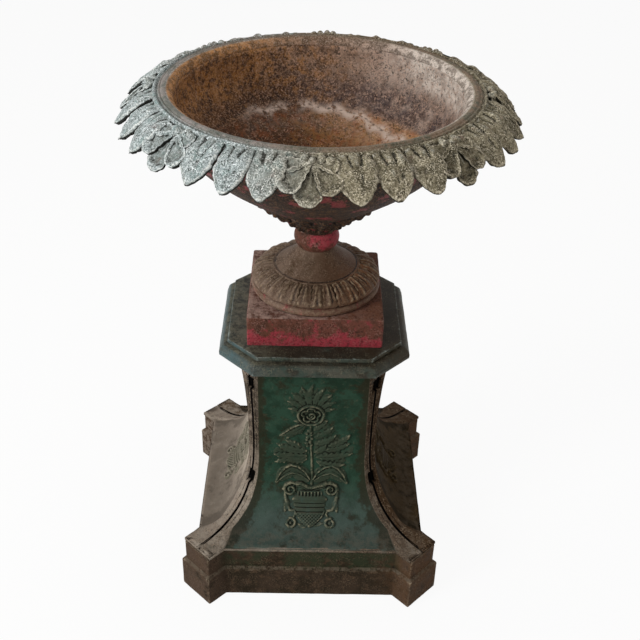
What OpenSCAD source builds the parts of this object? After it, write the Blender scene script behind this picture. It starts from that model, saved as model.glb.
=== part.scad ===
// Cast-iron garden urn on a concave pedestal.
// Millimetres, +Z up, front towards -Y, origin at the centre of the base on the ground.

/* [Base frame] */
// Width across the straight sides of the plinth
plinth_w = 430; // [400:1:460]
// Height of the upright plinth face
plinth_h = 65; // [45:1:72]
// Height of the whole base frame, up to the seat of the panels
base_h = 112; // [95:1:130]
// Width of each corner block, measured across its diagonal
corner_block_w = 79.2; // [64:0.1:94]
// Distance from the axis to the outer face of a corner block
corner_reach = 306; // [290:1:322]
// How far the upper fascia stands back from the plinth
fascia_in_w = 6; // [3:0.5:9]
// Height of the sloping ledge between plinth and fascia
ledge_h = 5; // [3:0.5:10]
// Wall of the base frame casting
base_wall = 9; // [6:0.5:11]
// Thickness of the seat plate at the top of the base frame
seat_t = 8; // [6:0.5:12]
// Width of the square hole in the seat plate
seat_hole_w = 220; // [200:1:236]

/* [Panels] */
// Height of a panel casting, from its slab to the underside of the cap
panel_h = 373.5; // [350:0.5:400]
// Thickness of the slab edge at the foot of a panel
slab_t = 6; // [4:0.5:8]
// How far the slab edge overhangs the fascia on the straight sides
slab_lip_w = 3; // [1:0.5:6]
// How far the slab edge stands back from the fascia at the end of a corner block
slab_back_w = 2; // [0:0.5:4]
// Height of the waist above the slab
waist_h = 170; // [150:1:190]
// Width across two opposite faces at the waist
waist_w = 234; // [222:1:250]
// Width across two opposite faces at the top
neck_w = 266; // [256:1:280]
// Width across two opposite faces at the toe
toe_w = 424; // [410:1:428]
// Distance from the axis to the corner strip at the waist
strip_waist_r = 152.7; // [150:0.1:156]
// Distance from the axis to the corner strip at the top
strip_top_r = 163.8; // [161:0.1:168]
// Roundness of the sweep of the faces
face_power = 2.1; // [1.9:0.05:2.3]
// Roundness of the sweep of the corner strips
strip_power = 2.4; // [2.2:0.05:2.6]
// Height over which a corner strip widens at its toe
strip_toe_h = 32; // [24:1:40]
// Width of a corner strip at the top of its toe
strip_toe_w = 26.4; // [20:0.2:32]
// Wall of a panel casting
panel_wall = 7; // [5:0.5:9]
// Open seam between two neighbouring panels
seam_gap_w = 2.4; // [1:0.1:4]
// Depth of the inner flanges along the seams
flange_w = 28; // [26:1:34]
// Thickness of the inner flanges
flange_t = 7; // [5:0.5:10]
// Height of the upper seam bolts above the slab
upper_bolt_h = 312; // [290:1:318]
// Height of the lower seam bolts above the slab
lower_bolt_h = 95; // [80:1:110]
// Height of the open notch in the seam beside each bolt
notch_h = 20; // [10:1:30]
// Width of the open notch in the seam beside each bolt
notch_w = 9; // [5:0.5:12]
// Depth of the open notch beyond the wall
notch_d = 3; // [1:0.5:5]

/* [Ornament] */
// Height of the ornament's lowest point above the slab
ornament_foot_h = 23; // [18:1:30]
// Height of the whole flower and vase ornament
ornament_h = 296; // [270:1:310]
// How far the ornament stands out from the face
ornament_t = 4; // [2:0.5:6]
// Radius of the rose
rose_r = 23; // [18:1:28]
// Distance from the top of the ornament down to the middle of the rose
rose_drop_h = 65; // [58:1:72]
// Width of the stem
stem_w = 6; // [4:0.5:9]
// Width of the vase's round body
vase_w = 60; // [50:1:70]
// Height of the vase
vase_h = 58; // [52:1:64]
// Width of the vase's lip
vase_lip_w = 72; // [64:1:80]
// Height of the vase's lip
vase_lip_h = 9; // [6:0.5:12]
// Radius of the curls beside the vase's foot
foot_curl_r = 9; // [7:0.5:11]
// Distance of the foot curls from the middle
foot_curl_x = 39; // [36:1:42]
// Radius of the vase's handles
handle_r = 11; // [9:0.5:13]
// Distance of the handles from the middle
handle_x = 44; // [40:1:46]
// Length of the rising half of a drooping leaf
arch_leaf_l = 64; // [56:1:70]
// Length of the drooping half of a drooping leaf
droop_leaf_l = 46; // [38:1:52]
// Width of a drooping leaf
arch_leaf_w = 21; // [16:1:26]
// Length of the lowest side leaf
side_leaf_l = 82; // [70:1:90]
// How much shorter each side leaf is than the one below
side_leaf_less_l = 16; // [10:1:20]
// Width of a side leaf
side_leaf_w = 20; // [14:1:24]
// Height of the lowest side leaf above the vase
side_leaf_h = 46; // [40:1:52]
// Distance between two side leaves along the stem
side_leaf_gap_h = 26; // [20:1:30]
// Length of a leaf of the sprig over the rose
sprig_leaf_l = 43; // [36:1:48]
// Width of a leaf of the sprig over the rose
sprig_leaf_w = 13; // [9:1:16]

/* [Cap] */
// Width of the cap across its straight sides
cap_w = 333; // [320:1:350]
// Width of the cap across its cut corners
cap_corner_w = 383; // [370:1:395]
// Height of the cap
cap_h = 29; // [26:0.5:34]
// Height of the upright band at the foot of the cap
cap_band_h = 6.5; // [4:0.5:9]
// Height of the small upright fillet below the flat top
cap_fillet_h = 7; // [4:0.5:9]
// How far the flat top stands back from the band
cap_step = 16; // [12:0.5:18]
// Thickness of the cap's top plate
cap_plate_t = 10; // [7:0.5:12]
// Width of the square recess under the cap
cap_recess_w = 184; // [170:1:196]
// Radius of the drain hole in the middle of the cap
cap_drain_r = 30; // [15:1:40]

/* [Urn foot] */
// Width of the square block under the urn
block_w = 233.4; // [224:0.2:244]
// Height of the square block
block_h = 56.6; // [50:0.2:64]
// Wall of the foot casting
foot_wall = 9; // [6:0.5:11]
// Radius of the rounded ring on the block
ring_r = 113.5; // [110:0.5:115]
// Height of the rounded ring
ring_h = 15; // [11:0.5:18]
// Radius of the lower edge of the leaf band
band_r = 115.6; // [111:0.2:116]
// Height of the leaf band, with the step below it
band_h = 29; // [24:0.5:34]
// Height of the step below the leaf band
band_step_h = 5; // [3:0.5:7]
// Fullness of the leaf band's rounding
band_power = 1.4; // [1.2:0.1:1.7]
// Rounding at the edge of the ring
ring_round_r = 4; // [2:0.5:6]
// Radius of the small bead at the top of the leaf band
bead_r = 74.5; // [70:0.5:80]
// Thickness of the small bead
bead_t = 2; // [1:0.5:3]
// Height of the cone from the bead to the neck
cone_h = 37.4; // [32:0.2:44]
// Roundness of the cone
cone_power = 1.35; // [1.2:0.05:1.6]
// Radius of the neck under the knop
neck_r = 31.5; // [29:0.5:34]
// Depth of solid iron under the neck, where the tie rod pulls
foot_boss_h = 32; // [28:1:36]
// Room round the lower washer of the tie rod for a spanner
spanner_room_w = 20; // [16:1:24]

/* [Knop] */
// Height of the knop
knop_h = 34; // [30:0.5:40]
// Largest radius of the knop
knop_r = 39.2; // [36:0.2:42]
// Fullness of the knop's rounding
knop_power = 0.8; // [0.6:0.05:1]

/* [Bowl] */
// Height of the bowl casting, from the knop to its top flange
bowl_h = 240; // [225:1:255]
// Outer radius of the bowl wall under the flange
bowl_r = 240; // [232:1:244]
// Radius of the bowl where it stands on the knop
bowl_foot_r = 33.3; // [30:0.5:36]
// First power of the bowl's S-curve
bowl_low_power = 1.5; // [1.4:0.05:1.6]
// Second power of the bowl's S-curve
bowl_high_power = 2.9; // [2.7:0.05:3.1]
// Wall of the bowl
bowl_wall = 9; // [6:0.5:11]
// Thickness of the flange that carries the leaf rim
bowl_flange_t = 8; // [6:0.5:10]
// How far the flange stands out past the lip
flange_edge_w = 1; // [0.5:0.5:2]
// Height of the bowl's inner floor above the knop
bowl_floor_h = 54; // [50:1:62]
// Radius of the drain holes in the bowl's floor
drain_r = 6; // [4:0.5:8]
// Radius of the circle of drain holes
drain_circle_r = 50; // [44:1:52]
// Number of drain holes
drain_count = 4; // [3:1:6]

/* [Leaf rim] */
// How far the crest of the lip starts outside the bowl wall
lip_set_w = 5; // [2:0.5:8]
// Height of the lip above the bowl's flange
lip_h = 14; // [11:0.5:18]
// Width of the rounded lip
lip_w = 16; // [12:0.5:19]
// Height of the rounding on the lip
lip_round_h = 4; // [3:0.5:5]
// How far below the crest of the lip the leaves start
leaf_start_h = 7; // [6:0.5:9]
// How far the leaf tips reach out past the lip
leaf_reach_w = 55; // [45:1:65]
// How far the leaf tips hang below the crest of the lip
tip_drop_h = 52; // [44:1:60]
// Depth of the notches between the leaves
leaf_notch_w = 29; // [22:1:34]
// Bend of a leaf from root to tip, in degrees
leaf_bend = 38; // [24:1:50]
// Thickness of a leaf
leaf_t = 6; // [4:0.5:8]
// Number of fan leaves around the rim
fan_count = 8; // [6:1:10]
// Number of pointed leaves between two fan leaves
pointed_count = 3; // [2:1:4]
// Share of a sector that a fan leaf takes
fan_share = 0.32; // [0.28:0.01:0.38]
// How much shorter the side lobes of a fan leaf are than its middle lobe
side_lobe_less_w = 6; // [3:0.5:9]
// Turn of the rim about the axis, in degrees
rim_turn = -2.4; // [-5:0.1:5]

/* [Fasteners] */
// Radius of the bolts in the pedestal
bolt_r = 5; // [4:0.5:5.5]
// Width across flats of the bolt heads and nuts
bolt_af = 17; // [13:0.5:18]
// Height of a bolt head
bolt_head_h = 6.5; // [5:0.5:8]
// Height of a nut
nut_h = 8; // [6:0.5:10]
// How far a bolt stands out of its nut
bolt_tail_l = 3; // [1:0.5:6]
// Radial clearance of a bolt in its hole
bolt_clear = 0.6; // [0.3:0.1:1]
// Radius of the boss round each seam bolt
seam_boss_r = 11.5; // [10.5:0.5:13]
// Distance of the base bolts from the middle of each side
base_bolt_x = 70; // [40:1:80]
// Distance of the base bolts inwards from the edge of the plinth
base_bolt_in_w = 80; // [76:1:84]
// Depth of the cap bolts in the cap
cap_bolt_depth = 14; // [10:0.5:18]
// Number of rim screws
rim_screw_count = 8; // [6:1:12]
// Radius of a rim screw
rim_screw_r = 3; // [2.5:0.5:3.5]
// Radius of a rim screw's head
rim_head_r = 6.5; // [5:0.5:7]
// Height of a rim screw's head
rim_head_h = 4; // [3:0.5:6]
// Depth of a rim screw in the rim
rim_screw_depth = 8; // [6:0.5:9]
// Radius of the tie rod
rod_r = 8; // [6:0.5:9]
// Radial clearance of the tie rod in the castings
rod_clear = 1; // [0.5:0.1:2]
// Width across flats of the tie rod nuts
rod_nut_af = 24; // [20:0.5:28]
// Height of a tie rod nut
rod_nut_h = 13; // [10:0.5:16]
// Radius of the tie rod washers
rod_washer_r = 20; // [17:0.5:24]
// Thickness of the tie rod washers
rod_washer_t = 4; // [3:0.5:6]
// How far the tie rod stands out of its nuts
rod_tail_l = 6; // [2:0.5:10]

/* [Hidden] */
$fn = 96;
thread_clear = 0.1;
overcut = 1;
embed = 1;
sides = [0, 90, 180, 270];
corners = [45, 135, 225, 315];
curve_steps = 9;
flare_steps = 4;
round_steps = 6;
leaf_steps = 6;
bowl_steps = 20;

base_half = plinth_w / 2;
block_half = corner_block_w / 2;
slab_half = base_half - fascia_in_w + slab_lip_w;
slab_block_half = block_half - fascia_in_w + slab_lip_w;
slab_reach = corner_reach - fascia_in_w - slab_back_w;
far = 3 * corner_reach;

slab_top = base_h + slab_t;
waist_z = slab_top + waist_h;
cap_z = base_h + panel_h;
cap_top = cap_z + cap_h;
block_top = cap_top + block_h;
band_z = block_top + ring_h + band_step_h;
bead_z = block_top + ring_h + band_h;
knop_z = bead_z + cone_h;
boss_z = knop_z - foot_boss_h;
bowl_z = knop_z + knop_h;
bowl_floor_z = bowl_z + bowl_floor_h;
rim_z = bowl_z + bowl_h;
lip_z = rim_z + lip_h;

base_bolt_y = base_half - base_bolt_in_w;
seam_bolt_heights = [slab_top + lower_bolt_h, slab_top + upper_bolt_h];
seam_bolt_in = panel_wall + flange_w / 2;
seam_grip = seam_gap_w / 2 + flange_t;
cap_bolt_y = (cap_recess_w / 2 + neck_w / 2 - panel_wall) / 2;
lip_r = bowl_r + lip_set_w;
lip_outer_r = lip_r + lip_w;
tip_r = lip_outer_r + leaf_reach_w;
leaf_notch_r = tip_r - leaf_notch_w;
bowl_flange_r = lip_outer_r + flange_edge_w;
rim_screw_y = (bowl_r + bowl_flange_r) / 2;
rod_low_z = boss_z - rod_washer_t - rod_nut_h - rod_tail_l;
rod_high_z = bowl_floor_z + rod_washer_t + rod_nut_h + rod_tail_l;

// An outline is a list of points [half width or radius, height], from the bottom up.
// Sweep of the pedestal: wide at the toe, narrow at the waist, a little wider at the top.
function sweep_line(waist, toe, top, power) = [
    for (i = [curve_steps:-1:1])
        let (a = 90 * i / curve_steps)
        [
            waist + (toe - waist) * (1 - pow(cos(a), 2 / power)),
            waist_z - waist_h * pow(sin(a), 2 / power)
        ],
    for (i = [0:flare_steps])
        let (u = i / flare_steps)
        [waist + (top - waist) * u * u, waist_z + u * (cap_z - waist_z)]
];

// Quarter ellipse from one point to another, upright at the first and level at the second.
function quarter_line(from, to) = [
    for (i = [0:round_steps])
        let (a = 90 * i / round_steps)
        [to[0] + (from[0] - to[0]) * cos(a), from[1] + (to[1] - from[1]) * sin(a)]
];

// S-curve of the bowl's underside.
bowl_line = [
    for (i = [0:bowl_steps])
        let (
            z = (bowl_h - bowl_flange_t) * i / bowl_steps,
            swell = 1 - pow(1 - pow(z / bowl_h, bowl_low_power), bowl_high_power)
        )
        [bowl_foot_r + (bowl_r - bowl_foot_r) * swell, bowl_z + z]
];

function last(p) = p[len(p) - 1];
function reversed(p) = [for (i = [len(p) - 1:-1:0]) p[i]];
function across(p) = [for (q = p) [-q[0], q[1]]];
function along(p, i) =
    let (d = p[min(i + 1, len(p) - 1)] - p[max(i - 1, 0)]) d / norm(d);
// The outline moved inwards by a distance, square to itself.
function moved_in(p, by) = [
    for (i = [0:len(p) - 1])
        let (t = along(p, i)) p[i] + by * [-t[1], t[0]]
];
function half_at(p, z) = lookup(z, [for (q = p) [q[1], q[0]]]);
function from_height(p, z) = concat([[half_at(p, z), z]], [for (q = p) if (q[1] > z) q]);

face_line = sweep_line(waist_w / 2, toe_w / 2, neck_w / 2, face_power);
strip_line = sweep_line(strip_waist_r, slab_reach, strip_top_r, strip_power);
bowl_inner_line = from_height(moved_in(bowl_line, bowl_wall), bowl_floor_z);
bowl_mouth_r = last(bowl_inner_line)[0];

// A bar along X whose section is an outline and its mirror image.
module bar(outline) {
    rotate([90, 0, 90])
        linear_extrude(height = far, center = true)
            polygon(concat(outline, reversed(across(outline))));
}

// A block with one outline on its X sides, another on its Y sides, and mitred corners.
module mitred(x_outline, y_outline) {
    intersection() {
        rotate([0, 0, 90]) bar(x_outline);
        bar(y_outline);
    }
}

module hex(af, h) {
    cylinder(r = af / 2 / cos(30), h = h, $fn = 6);
}

// A bolt with its head below z = 0 and its shank above.
module bolt(length) {
    translate([0, 0, -bolt_head_h]) hex(bolt_af, bolt_head_h);
    cylinder(r = bolt_r, h = length);
}

module nut(af, h, r) {
    difference() {
        hex(af, h);
        translate([0, 0, -overcut]) cylinder(r = r + thread_clear, h = h + 2 * overcut);
    }
}

// Outlines of the plinth for one half width: outside, and the hollow from below.
function plinth_line(half) = [
    [half, 0],
    [half, plinth_h],
    [half - fascia_in_w, plinth_h + ledge_h],
    [half - fascia_in_w, base_h]
];
function plinth_hollow(half) = [
    [half - base_wall, -overcut],
    [half - base_wall, plinth_h - base_wall / 2],
    [half - base_wall - fascia_in_w, plinth_h + ledge_h - base_wall / 2],
    [half - base_wall - fascia_in_w, base_h - seat_t]
];

// Places children at the eight base bolts.
module at_base_bolts() {
    for (a = sides)
        for (s = [-1, 1])
            rotate([0, 0, a]) translate([s * base_bolt_x, -base_bolt_y, 0]) children();
}

module base_frame() {
    color("#4a382c")
    difference() {
        union() {
            mitred(plinth_line(base_half), plinth_line(base_half));
            for (a = [45, 135])
                rotate([0, 0, a]) mitred(plinth_line(corner_reach), plinth_line(block_half));
        }
        mitred(plinth_hollow(base_half), plinth_hollow(base_half));
        for (a = [45, 135])
            rotate([0, 0, a]) mitred(plinth_hollow(corner_reach), plinth_hollow(block_half));
        translate([0, 0, base_h]) cube([seat_hole_w, seat_hole_w, 3 * seat_t], center = true);
        at_base_bolts()
            translate([0, 0, base_h - seat_t - overcut])
                cylinder(r = bolt_r + bolt_clear, h = seat_t + 2 * overcut);
    }
}

// The quarter of the plan that the front panel fills, up to half the seam on each side.
module front_quarter() {
    back = seam_gap_w / sqrt(2);
    translate([0, 0, base_h])
        linear_extrude(height = panel_h)
            polygon([[0, -back], [-far, -far - back], [far, -far - back]]);
}

module pedestal_solid(face, strip) {
    intersection() {
        bar(face);
        rotate([0, 0, 45]) bar(strip);
        rotate([0, 0, -45]) bar(strip);
    }
}

// The corner strips where they widen to meet the corner blocks.
module strip_toes() {
    narrow = strip_toe_w / 2;
    widths = [
        for (i = [curve_steps:-1:0])
            let (a = 90 * i / curve_steps)
            [
                narrow + (slab_block_half - narrow) * (1 - cos(a)),
                slab_top + strip_toe_h * (1 - sin(a))
            ]
    ];
    for (a = [45, 135])
        rotate([0, 0, a])
            intersection() {
                rotate([0, 0, 90]) bar(strip_line);
                bar(widths);
            }
}

module slab() {
    translate([0, 0, base_h])
        linear_extrude(height = slab_t) {
            square(2 * slab_half, center = true);
            for (a = [45, 135])
                rotate(a) square([2 * slab_reach, 2 * slab_block_half], center = true);
        }
}

// A leaf with its root at the origin and its tip along X.
module flat_leaf(length, width) {
    edge = [
        for (i = [0:leaf_steps])
            let (u = i / leaf_steps) [length * u, width / 2 * pow(sin(180 * pow(u, 0.8)), 0.8)]
    ];
    polygon(concat(edge, [for (i = [leaf_steps - 1:-1:1]) [edge[i][0], -edge[i][1]]]));
}

// Flower and vase, drawn flat with the lowest point at the origin.
module ornament_plan() {
    rose_y = ornament_h - rose_drop_h;
    arch_angle = 52;
    intersection() {
        translate([0, vase_w / 2]) circle(d = vase_w);
        translate([-vase_w / 2, 0]) square([vase_w, vase_h]);
    }
    translate([-vase_lip_w / 2, vase_h - vase_lip_h]) square([vase_lip_w, vase_lip_h]);
    translate([-stem_w / 2, vase_h - embed]) square([stem_w, rose_y - vase_h]);
    translate([0, rose_y]) circle(r = rose_r);
    for (s = [-1, 1])
        scale([s, 1]) {
            translate([foot_curl_x, foot_curl_r]) circle(r = foot_curl_r);
            translate([handle_x, vase_h - embed]) circle(r = handle_r);
            translate([0, vase_h]) rotate(arch_angle) {
                flat_leaf(arch_leaf_l, arch_leaf_w);
                translate([0.9 * arch_leaf_l, 0])
                    rotate(-2 * arch_angle) flat_leaf(droop_leaf_l, arch_leaf_w);
            }
            for (k = [0:2])
                translate([0, vase_h + side_leaf_h + side_leaf_gap_h * k])
                    rotate(38 - 4 * k) flat_leaf(side_leaf_l - side_leaf_less_l * k, side_leaf_w);
            for (k = [0:2])
                translate([0, rose_y + rose_r - stem_w])
                    rotate(28 + 27 * k) flat_leaf(sprig_leaf_l, sprig_leaf_w);
        }
}

// The ornament raised over the sweep of the front face.
module ornament() {
    intersection() {
        translate([0, 0, slab_top + ornament_foot_h])
            rotate([90, 0, 0]) linear_extrude(height = far) ornament_plan();
        difference() {
            bar(moved_in(face_line, -ornament_t));
            bar(moved_in(face_line, panel_wall / 2));
        }
    }
}

// Places children at both corners of the front panel, with the corner on -Y and Z upright.
module at_front_corners() {
    for (s = [-1, 1]) rotate([0, 0, 45 * s]) scale([-s, 1, 1]) children();
}

// Places children at both seam bolts of a corner on -Y, with Z across the seam.
module at_seam_bolts() {
    for (z = seam_bolt_heights)
        translate([0, seam_bolt_in - half_at(strip_line, z), z]) rotate([0, 90, 0]) children();
}

// Inner flange along one seam, from the slab to the top flange.
module seam_flange() {
    outer = across(moved_in(strip_line, panel_wall - embed));
    inner = across(moved_in(strip_line, panel_wall + flange_w));
    intersection() {
        rotate([90, 0, 90])
            linear_extrude(height = seam_grip) polygon(concat(outer, reversed(inner)));
        translate([-far / 2, -far / 2, slab_top - embed])
            cube([far, far, cap_z - slab_top]);
    }
}

module panel() {
    difference() {
        intersection() {
            front_quarter();
            union() {
                difference() {
                    union() {
                        pedestal_solid(face_line, strip_line);
                        strip_toes();
                        slab();
                        ornament();
                    }
                    intersection() {
                        pedestal_solid(
                            moved_in(face_line, panel_wall),
                            moved_in(strip_line, panel_wall)
                        );
                        translate([-far / 2, -far / 2, slab_top])
                            cube([far, far, cap_z - flange_t - slab_top]);
                    }
                }
                at_front_corners() {
                    seam_flange();
                    at_seam_bolts() cylinder(r = seam_boss_r, h = seam_grip);
                }
            }
        }
        translate([0, 0, cap_z]) cube([cap_recess_w, cap_recess_w, 3 * flange_t], center = true);
        translate([0, 0, base_h]) cube([seat_hole_w, seat_hole_w, 3 * slab_t], center = true);
        at_base_bolts()
            translate([0, 0, base_h - overcut])
                cylinder(r = bolt_r + bolt_clear, h = slab_t + 2 * overcut);
        translate([0, -cap_bolt_y, cap_z - flange_t - overcut])
            cylinder(r = bolt_r + bolt_clear, h = flange_t + 2 * overcut);
        at_front_corners() {
            at_seam_bolts()
                translate([0, 0, -overcut])
                    cylinder(r = bolt_r + bolt_clear, h = seam_grip + 2 * overcut);
            for (z = seam_bolt_heights)
                translate([-notch_w, -half_at(strip_line, z) - far, z - notch_h / 2])
                    cube([1.5 * notch_w, far + panel_wall + notch_d, notch_h]);
        }
    }
}

module panel_front() {
    color("#2b463c") panel();
}

module panel_right() {
    color("#3d2f24") rotate([0, 0, 90]) panel();
}

module panel_back() {
    color("#37362c") rotate([0, 0, 180]) panel();
}

module panel_left() {
    color("#6b6159") rotate([0, 0, 270]) panel();
}

module corner_bolts() {
    color("#3a332e")
    for (a = corners)
        rotate([0, 0, a])
            at_seam_bolts()
                translate([0, 0, -seam_grip]) bolt(2 * seam_grip + nut_h + bolt_tail_l);
}

module corner_nuts() {
    color("#3a332e")
    for (a = corners)
        rotate([0, 0, a])
            at_seam_bolts() translate([0, 0, seam_grip]) nut(bolt_af, nut_h, bolt_r);
}

module base_bolts() {
    color("#3a332e")
    at_base_bolts()
        translate([0, 0, slab_top])
            rotate([180, 0, 0]) bolt(slab_t + seat_t + nut_h + bolt_tail_l);
}

module base_nuts() {
    color("#3a332e")
    at_base_bolts()
        translate([0, 0, base_h - seat_t - nut_h]) nut(bolt_af, nut_h, bolt_r);
}

function cap_line(half) = concat(
    [[half, cap_z]],
    quarter_line([half, cap_z + cap_band_h], [half - cap_step, cap_top - cap_fillet_h]),
    [[half - cap_step, cap_top]]
);

module at_cap_bolts() {
    for (a = sides)
        rotate([0, 0, a]) translate([0, -cap_bolt_y, cap_z]) children();
}

module cap() {
    color("#2f3d39")
    difference() {
        intersection() {
            mitred(cap_line(cap_w / 2), cap_line(cap_w / 2));
            rotate([0, 0, 45]) mitred(cap_line(cap_corner_w / 2), cap_line(cap_corner_w / 2));
        }
        translate([-cap_recess_w / 2, -cap_recess_w / 2, cap_z - overcut])
            cube([cap_recess_w, cap_recess_w, cap_h - cap_plate_t + overcut]);
        translate([0, 0, cap_z]) cylinder(r = cap_drain_r, h = cap_h + overcut);
        at_cap_bolts()
            translate([0, 0, -overcut])
                cylinder(r = bolt_r + thread_clear, h = cap_bolt_depth + 2 * overcut);
    }
}

module cap_bolts() {
    color("#3a332e")
    at_cap_bolts() translate([0, 0, -flange_t]) bolt(flange_t + cap_bolt_depth);
}

// Outside of the round foot, from the block up to the neck.
foot_line = concat(
    [for (i = [0:round_steps])
        let (a = 180 * i / round_steps - 90)
        [ring_r - ring_round_r * (1 - cos(a)), block_top + ring_h / 2 * (1 + sin(a))]],
    [for (i = [0:round_steps])
        let (a = 90 * i / round_steps)
        [
            bead_r + (band_r - bead_r) * pow(cos(a), band_power),
            band_z + (bead_z - bead_t - band_z) * pow(sin(a), band_power)
        ]],
    [[bead_r + bead_t, bead_z - bead_t / 2], [bead_r, bead_z]],
    [for (i = [0:curve_steps])
        let (u = i / curve_steps)
        [neck_r + (bead_r - bead_t - neck_r) * pow(1 - u, cone_power), bead_z + cone_h * u]]
);

module urn_foot() {
    core_r = ring_r - foot_wall - bead_t;
    side = block_w - 2 * foot_wall;
    color("#6d3b36")
    difference() {
        union() {
            translate([-block_w / 2, -block_w / 2, cap_top]) cube([block_w, block_w, block_h]);
            rotate_extrude()
                polygon(concat(
                    [[0, block_top - embed], [ring_r - 2 * ring_round_r, block_top - embed]],
                    foot_line,
                    [[0, knop_z]]
                ));
        }
        translate([-side / 2, -side / 2, cap_top - overcut])
            cube([side, side, block_h - foot_wall + overcut]);
        rotate_extrude()
            polygon([
                [0, block_top - foot_wall - overcut],
                [core_r, block_top - foot_wall - overcut],
                [core_r, block_top + ring_h],
                [bead_r - foot_wall + bead_t, bead_z - foot_wall],
                [rod_washer_r + spanner_room_w, boss_z],
                [0, boss_z]
            ]);
        translate([0, 0, boss_z - overcut])
            cylinder(r = rod_r + rod_clear, h = foot_boss_h + 2 * overcut);
    }
}

module knop() {
    steps = 2 * round_steps;
    line = [
        for (i = [0:steps])
            let (u = i / steps, base_r = neck_r + (bowl_foot_r - neck_r) * u)
            [base_r + (knop_r - base_r) * pow(sin(180 * u), knop_power), knop_z + knop_h * u]
    ];
    color("#7c2b31")
    difference() {
        rotate_extrude() polygon(concat([[0, knop_z]], line, [[0, bowl_z]]));
        translate([0, 0, knop_z - overcut])
            cylinder(r = rod_r + rod_clear, h = knop_h + 2 * overcut);
    }
}

// Places children at the rim screws, with z = 0 on top of the bowl's flange.
module at_rim_screws() {
    for (i = [0:rim_screw_count - 1])
        rotate([0, 0, 360 * (i + 0.5) / rim_screw_count])
            translate([0, -rim_screw_y, rim_z]) children();
}

module bowl() {
    flange_z = rim_z - bowl_flange_t;
    color("#5c4434")
    difference() {
        rotate_extrude()
            polygon(concat([[0, bowl_z]], bowl_line, [
                [bowl_flange_r, flange_z], [bowl_flange_r, rim_z], [0, rim_z]
            ]));
        rotate_extrude()
            polygon(concat([[0, bowl_floor_z]], bowl_inner_line, [
                [bowl_mouth_r, rim_z + overcut], [0, rim_z + overcut]
            ]));
        translate([0, 0, bowl_z - overcut])
            cylinder(r = rod_r + rod_clear, h = bowl_floor_h + 2 * overcut);
        for (i = [0:drain_count - 1])
            rotate([0, 0, 360 * (i + 0.5) / drain_count])
                translate([drain_circle_r, 0, bowl_z - overcut])
                    cylinder(r = drain_r, h = bowl_floor_h + 2 * overcut);
        at_rim_screws()
            translate([0, 0, -bowl_flange_t - overcut])
                cylinder(r = rim_screw_r + bolt_clear, h = bowl_flange_t + 2 * overcut);
    }
}

// Centre line of a leaf in section, an arc from its root to its tip.
root = [lip_outer_r - 2 * embed, lip_z - leaf_start_h];
tip = [tip_r, lip_z - tip_drop_h];
leaf_chord = tip - root;
leaf_radius = norm(leaf_chord) / 2 / sin(leaf_bend / 2);
leaf_slope = atan2(leaf_chord[1], leaf_chord[0]) + leaf_bend / 2;
function leaf_line(side) = [
    for (i = [0:curve_steps])
        let (
            a = leaf_slope - leaf_bend * i / curve_steps,
            centre = root + leaf_radius * [sin(leaf_slope), -cos(leaf_slope)]
        )
        centre + (leaf_radius + side * leaf_t / 2) * [-sin(a), cos(a)]
];

sector = 360 / fan_count;
fan_angle = sector * fan_share;
pointed_angle = (sector - fan_angle) / pointed_count;
lobe_half = 0.42;
lobe_step = 0.58;
// Reach of a fan leaf with three round lobes, and of a pointed leaf, for u from -1 to 1.
function lobe(u, centre, reach) =
    leaf_notch_r + (reach - leaf_notch_r) * sqrt(max(0, 1 - pow((u - centre) / lobe_half, 2)));
function fan_reach(u) =
    max([for (k = [-1:1]) lobe(u, k * lobe_step, tip_r - abs(k) * side_lobe_less_w)]);
function pointed_reach(u) = leaf_notch_r + (tip_r - leaf_notch_r) * pow(1 - abs(u), 0.55);
function polar(r, a) = [r * sin(a), -r * cos(a)];
fringe = [
    for (k = [0:fan_count - 1])
        each concat(
            [for (j = [-6:6]) polar(fan_reach(j / 6), k * sector + j / 12 * fan_angle * 0.97)],
            [
                for (m = [0:pointed_count - 1])
                    for (u = [-0.97, -0.7, -0.35, -0.1, 0, 0.1, 0.35, 0.7, 0.97])
                        polar(
                            pointed_reach(u),
                            k * sector + fan_angle / 2 + (m + 0.5 + u / 2) * pointed_angle
                        )
            ]
        )
];

module leaf_rim() {
    lip_mid = (lip_r + lip_outer_r) / 2;
    lip_half = (lip_outer_r - lip_r) / 2;
    color("#8b988e")
    difference() {
        union() {
            rotate_extrude()
                polygon(concat(
                    [[bowl_flange_r, rim_z], [bowl_flange_r, lip_z - leaf_start_h + embed]],
                    [for (i = [0:round_steps])
                        let (a = 180 * i / round_steps)
                        [lip_mid + lip_half * cos(a), lip_z - lip_round_h * (1 - sin(a))]],
                    [for (i = [1:round_steps])
                        let (a = 90 * i / round_steps)
                        [
                            lip_r - (lip_r - bowl_mouth_r) * sin(a),
                            rim_z + (lip_h - lip_round_h) * cos(a)
                        ]]
                ));
            rotate([0, 0, rim_turn])
                intersection() {
                    rotate_extrude() polygon(concat(leaf_line(1), reversed(leaf_line(-1))));
                    translate([0, 0, rim_z - tip_drop_h])
                        linear_extrude(height = lip_h + tip_drop_h) polygon(fringe);
                }
        }
        at_rim_screws()
            translate([0, 0, -overcut])
                cylinder(r = rim_screw_r + thread_clear, h = rim_screw_depth + 1.5 * overcut);
    }
}

module rim_screws() {
    color("#3a332e")
    at_rim_screws()
        translate([0, 0, -bowl_flange_t]) {
            translate([0, 0, -rim_head_h]) cylinder(r = rim_head_r, h = rim_head_h);
            cylinder(r = rim_screw_r, h = bowl_flange_t + rim_screw_depth);
        }
}

module tie_rod() {
    color("#4b423b")
    translate([0, 0, rod_low_z]) cylinder(r = rod_r, h = rod_high_z - rod_low_z);
}

module tie_rod_nuts() {
    color("#4b423b")
    for (z = [rod_low_z + rod_tail_l, bowl_floor_z + rod_washer_t])
        translate([0, 0, z]) nut(rod_nut_af, rod_nut_h, rod_r);
}

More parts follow.
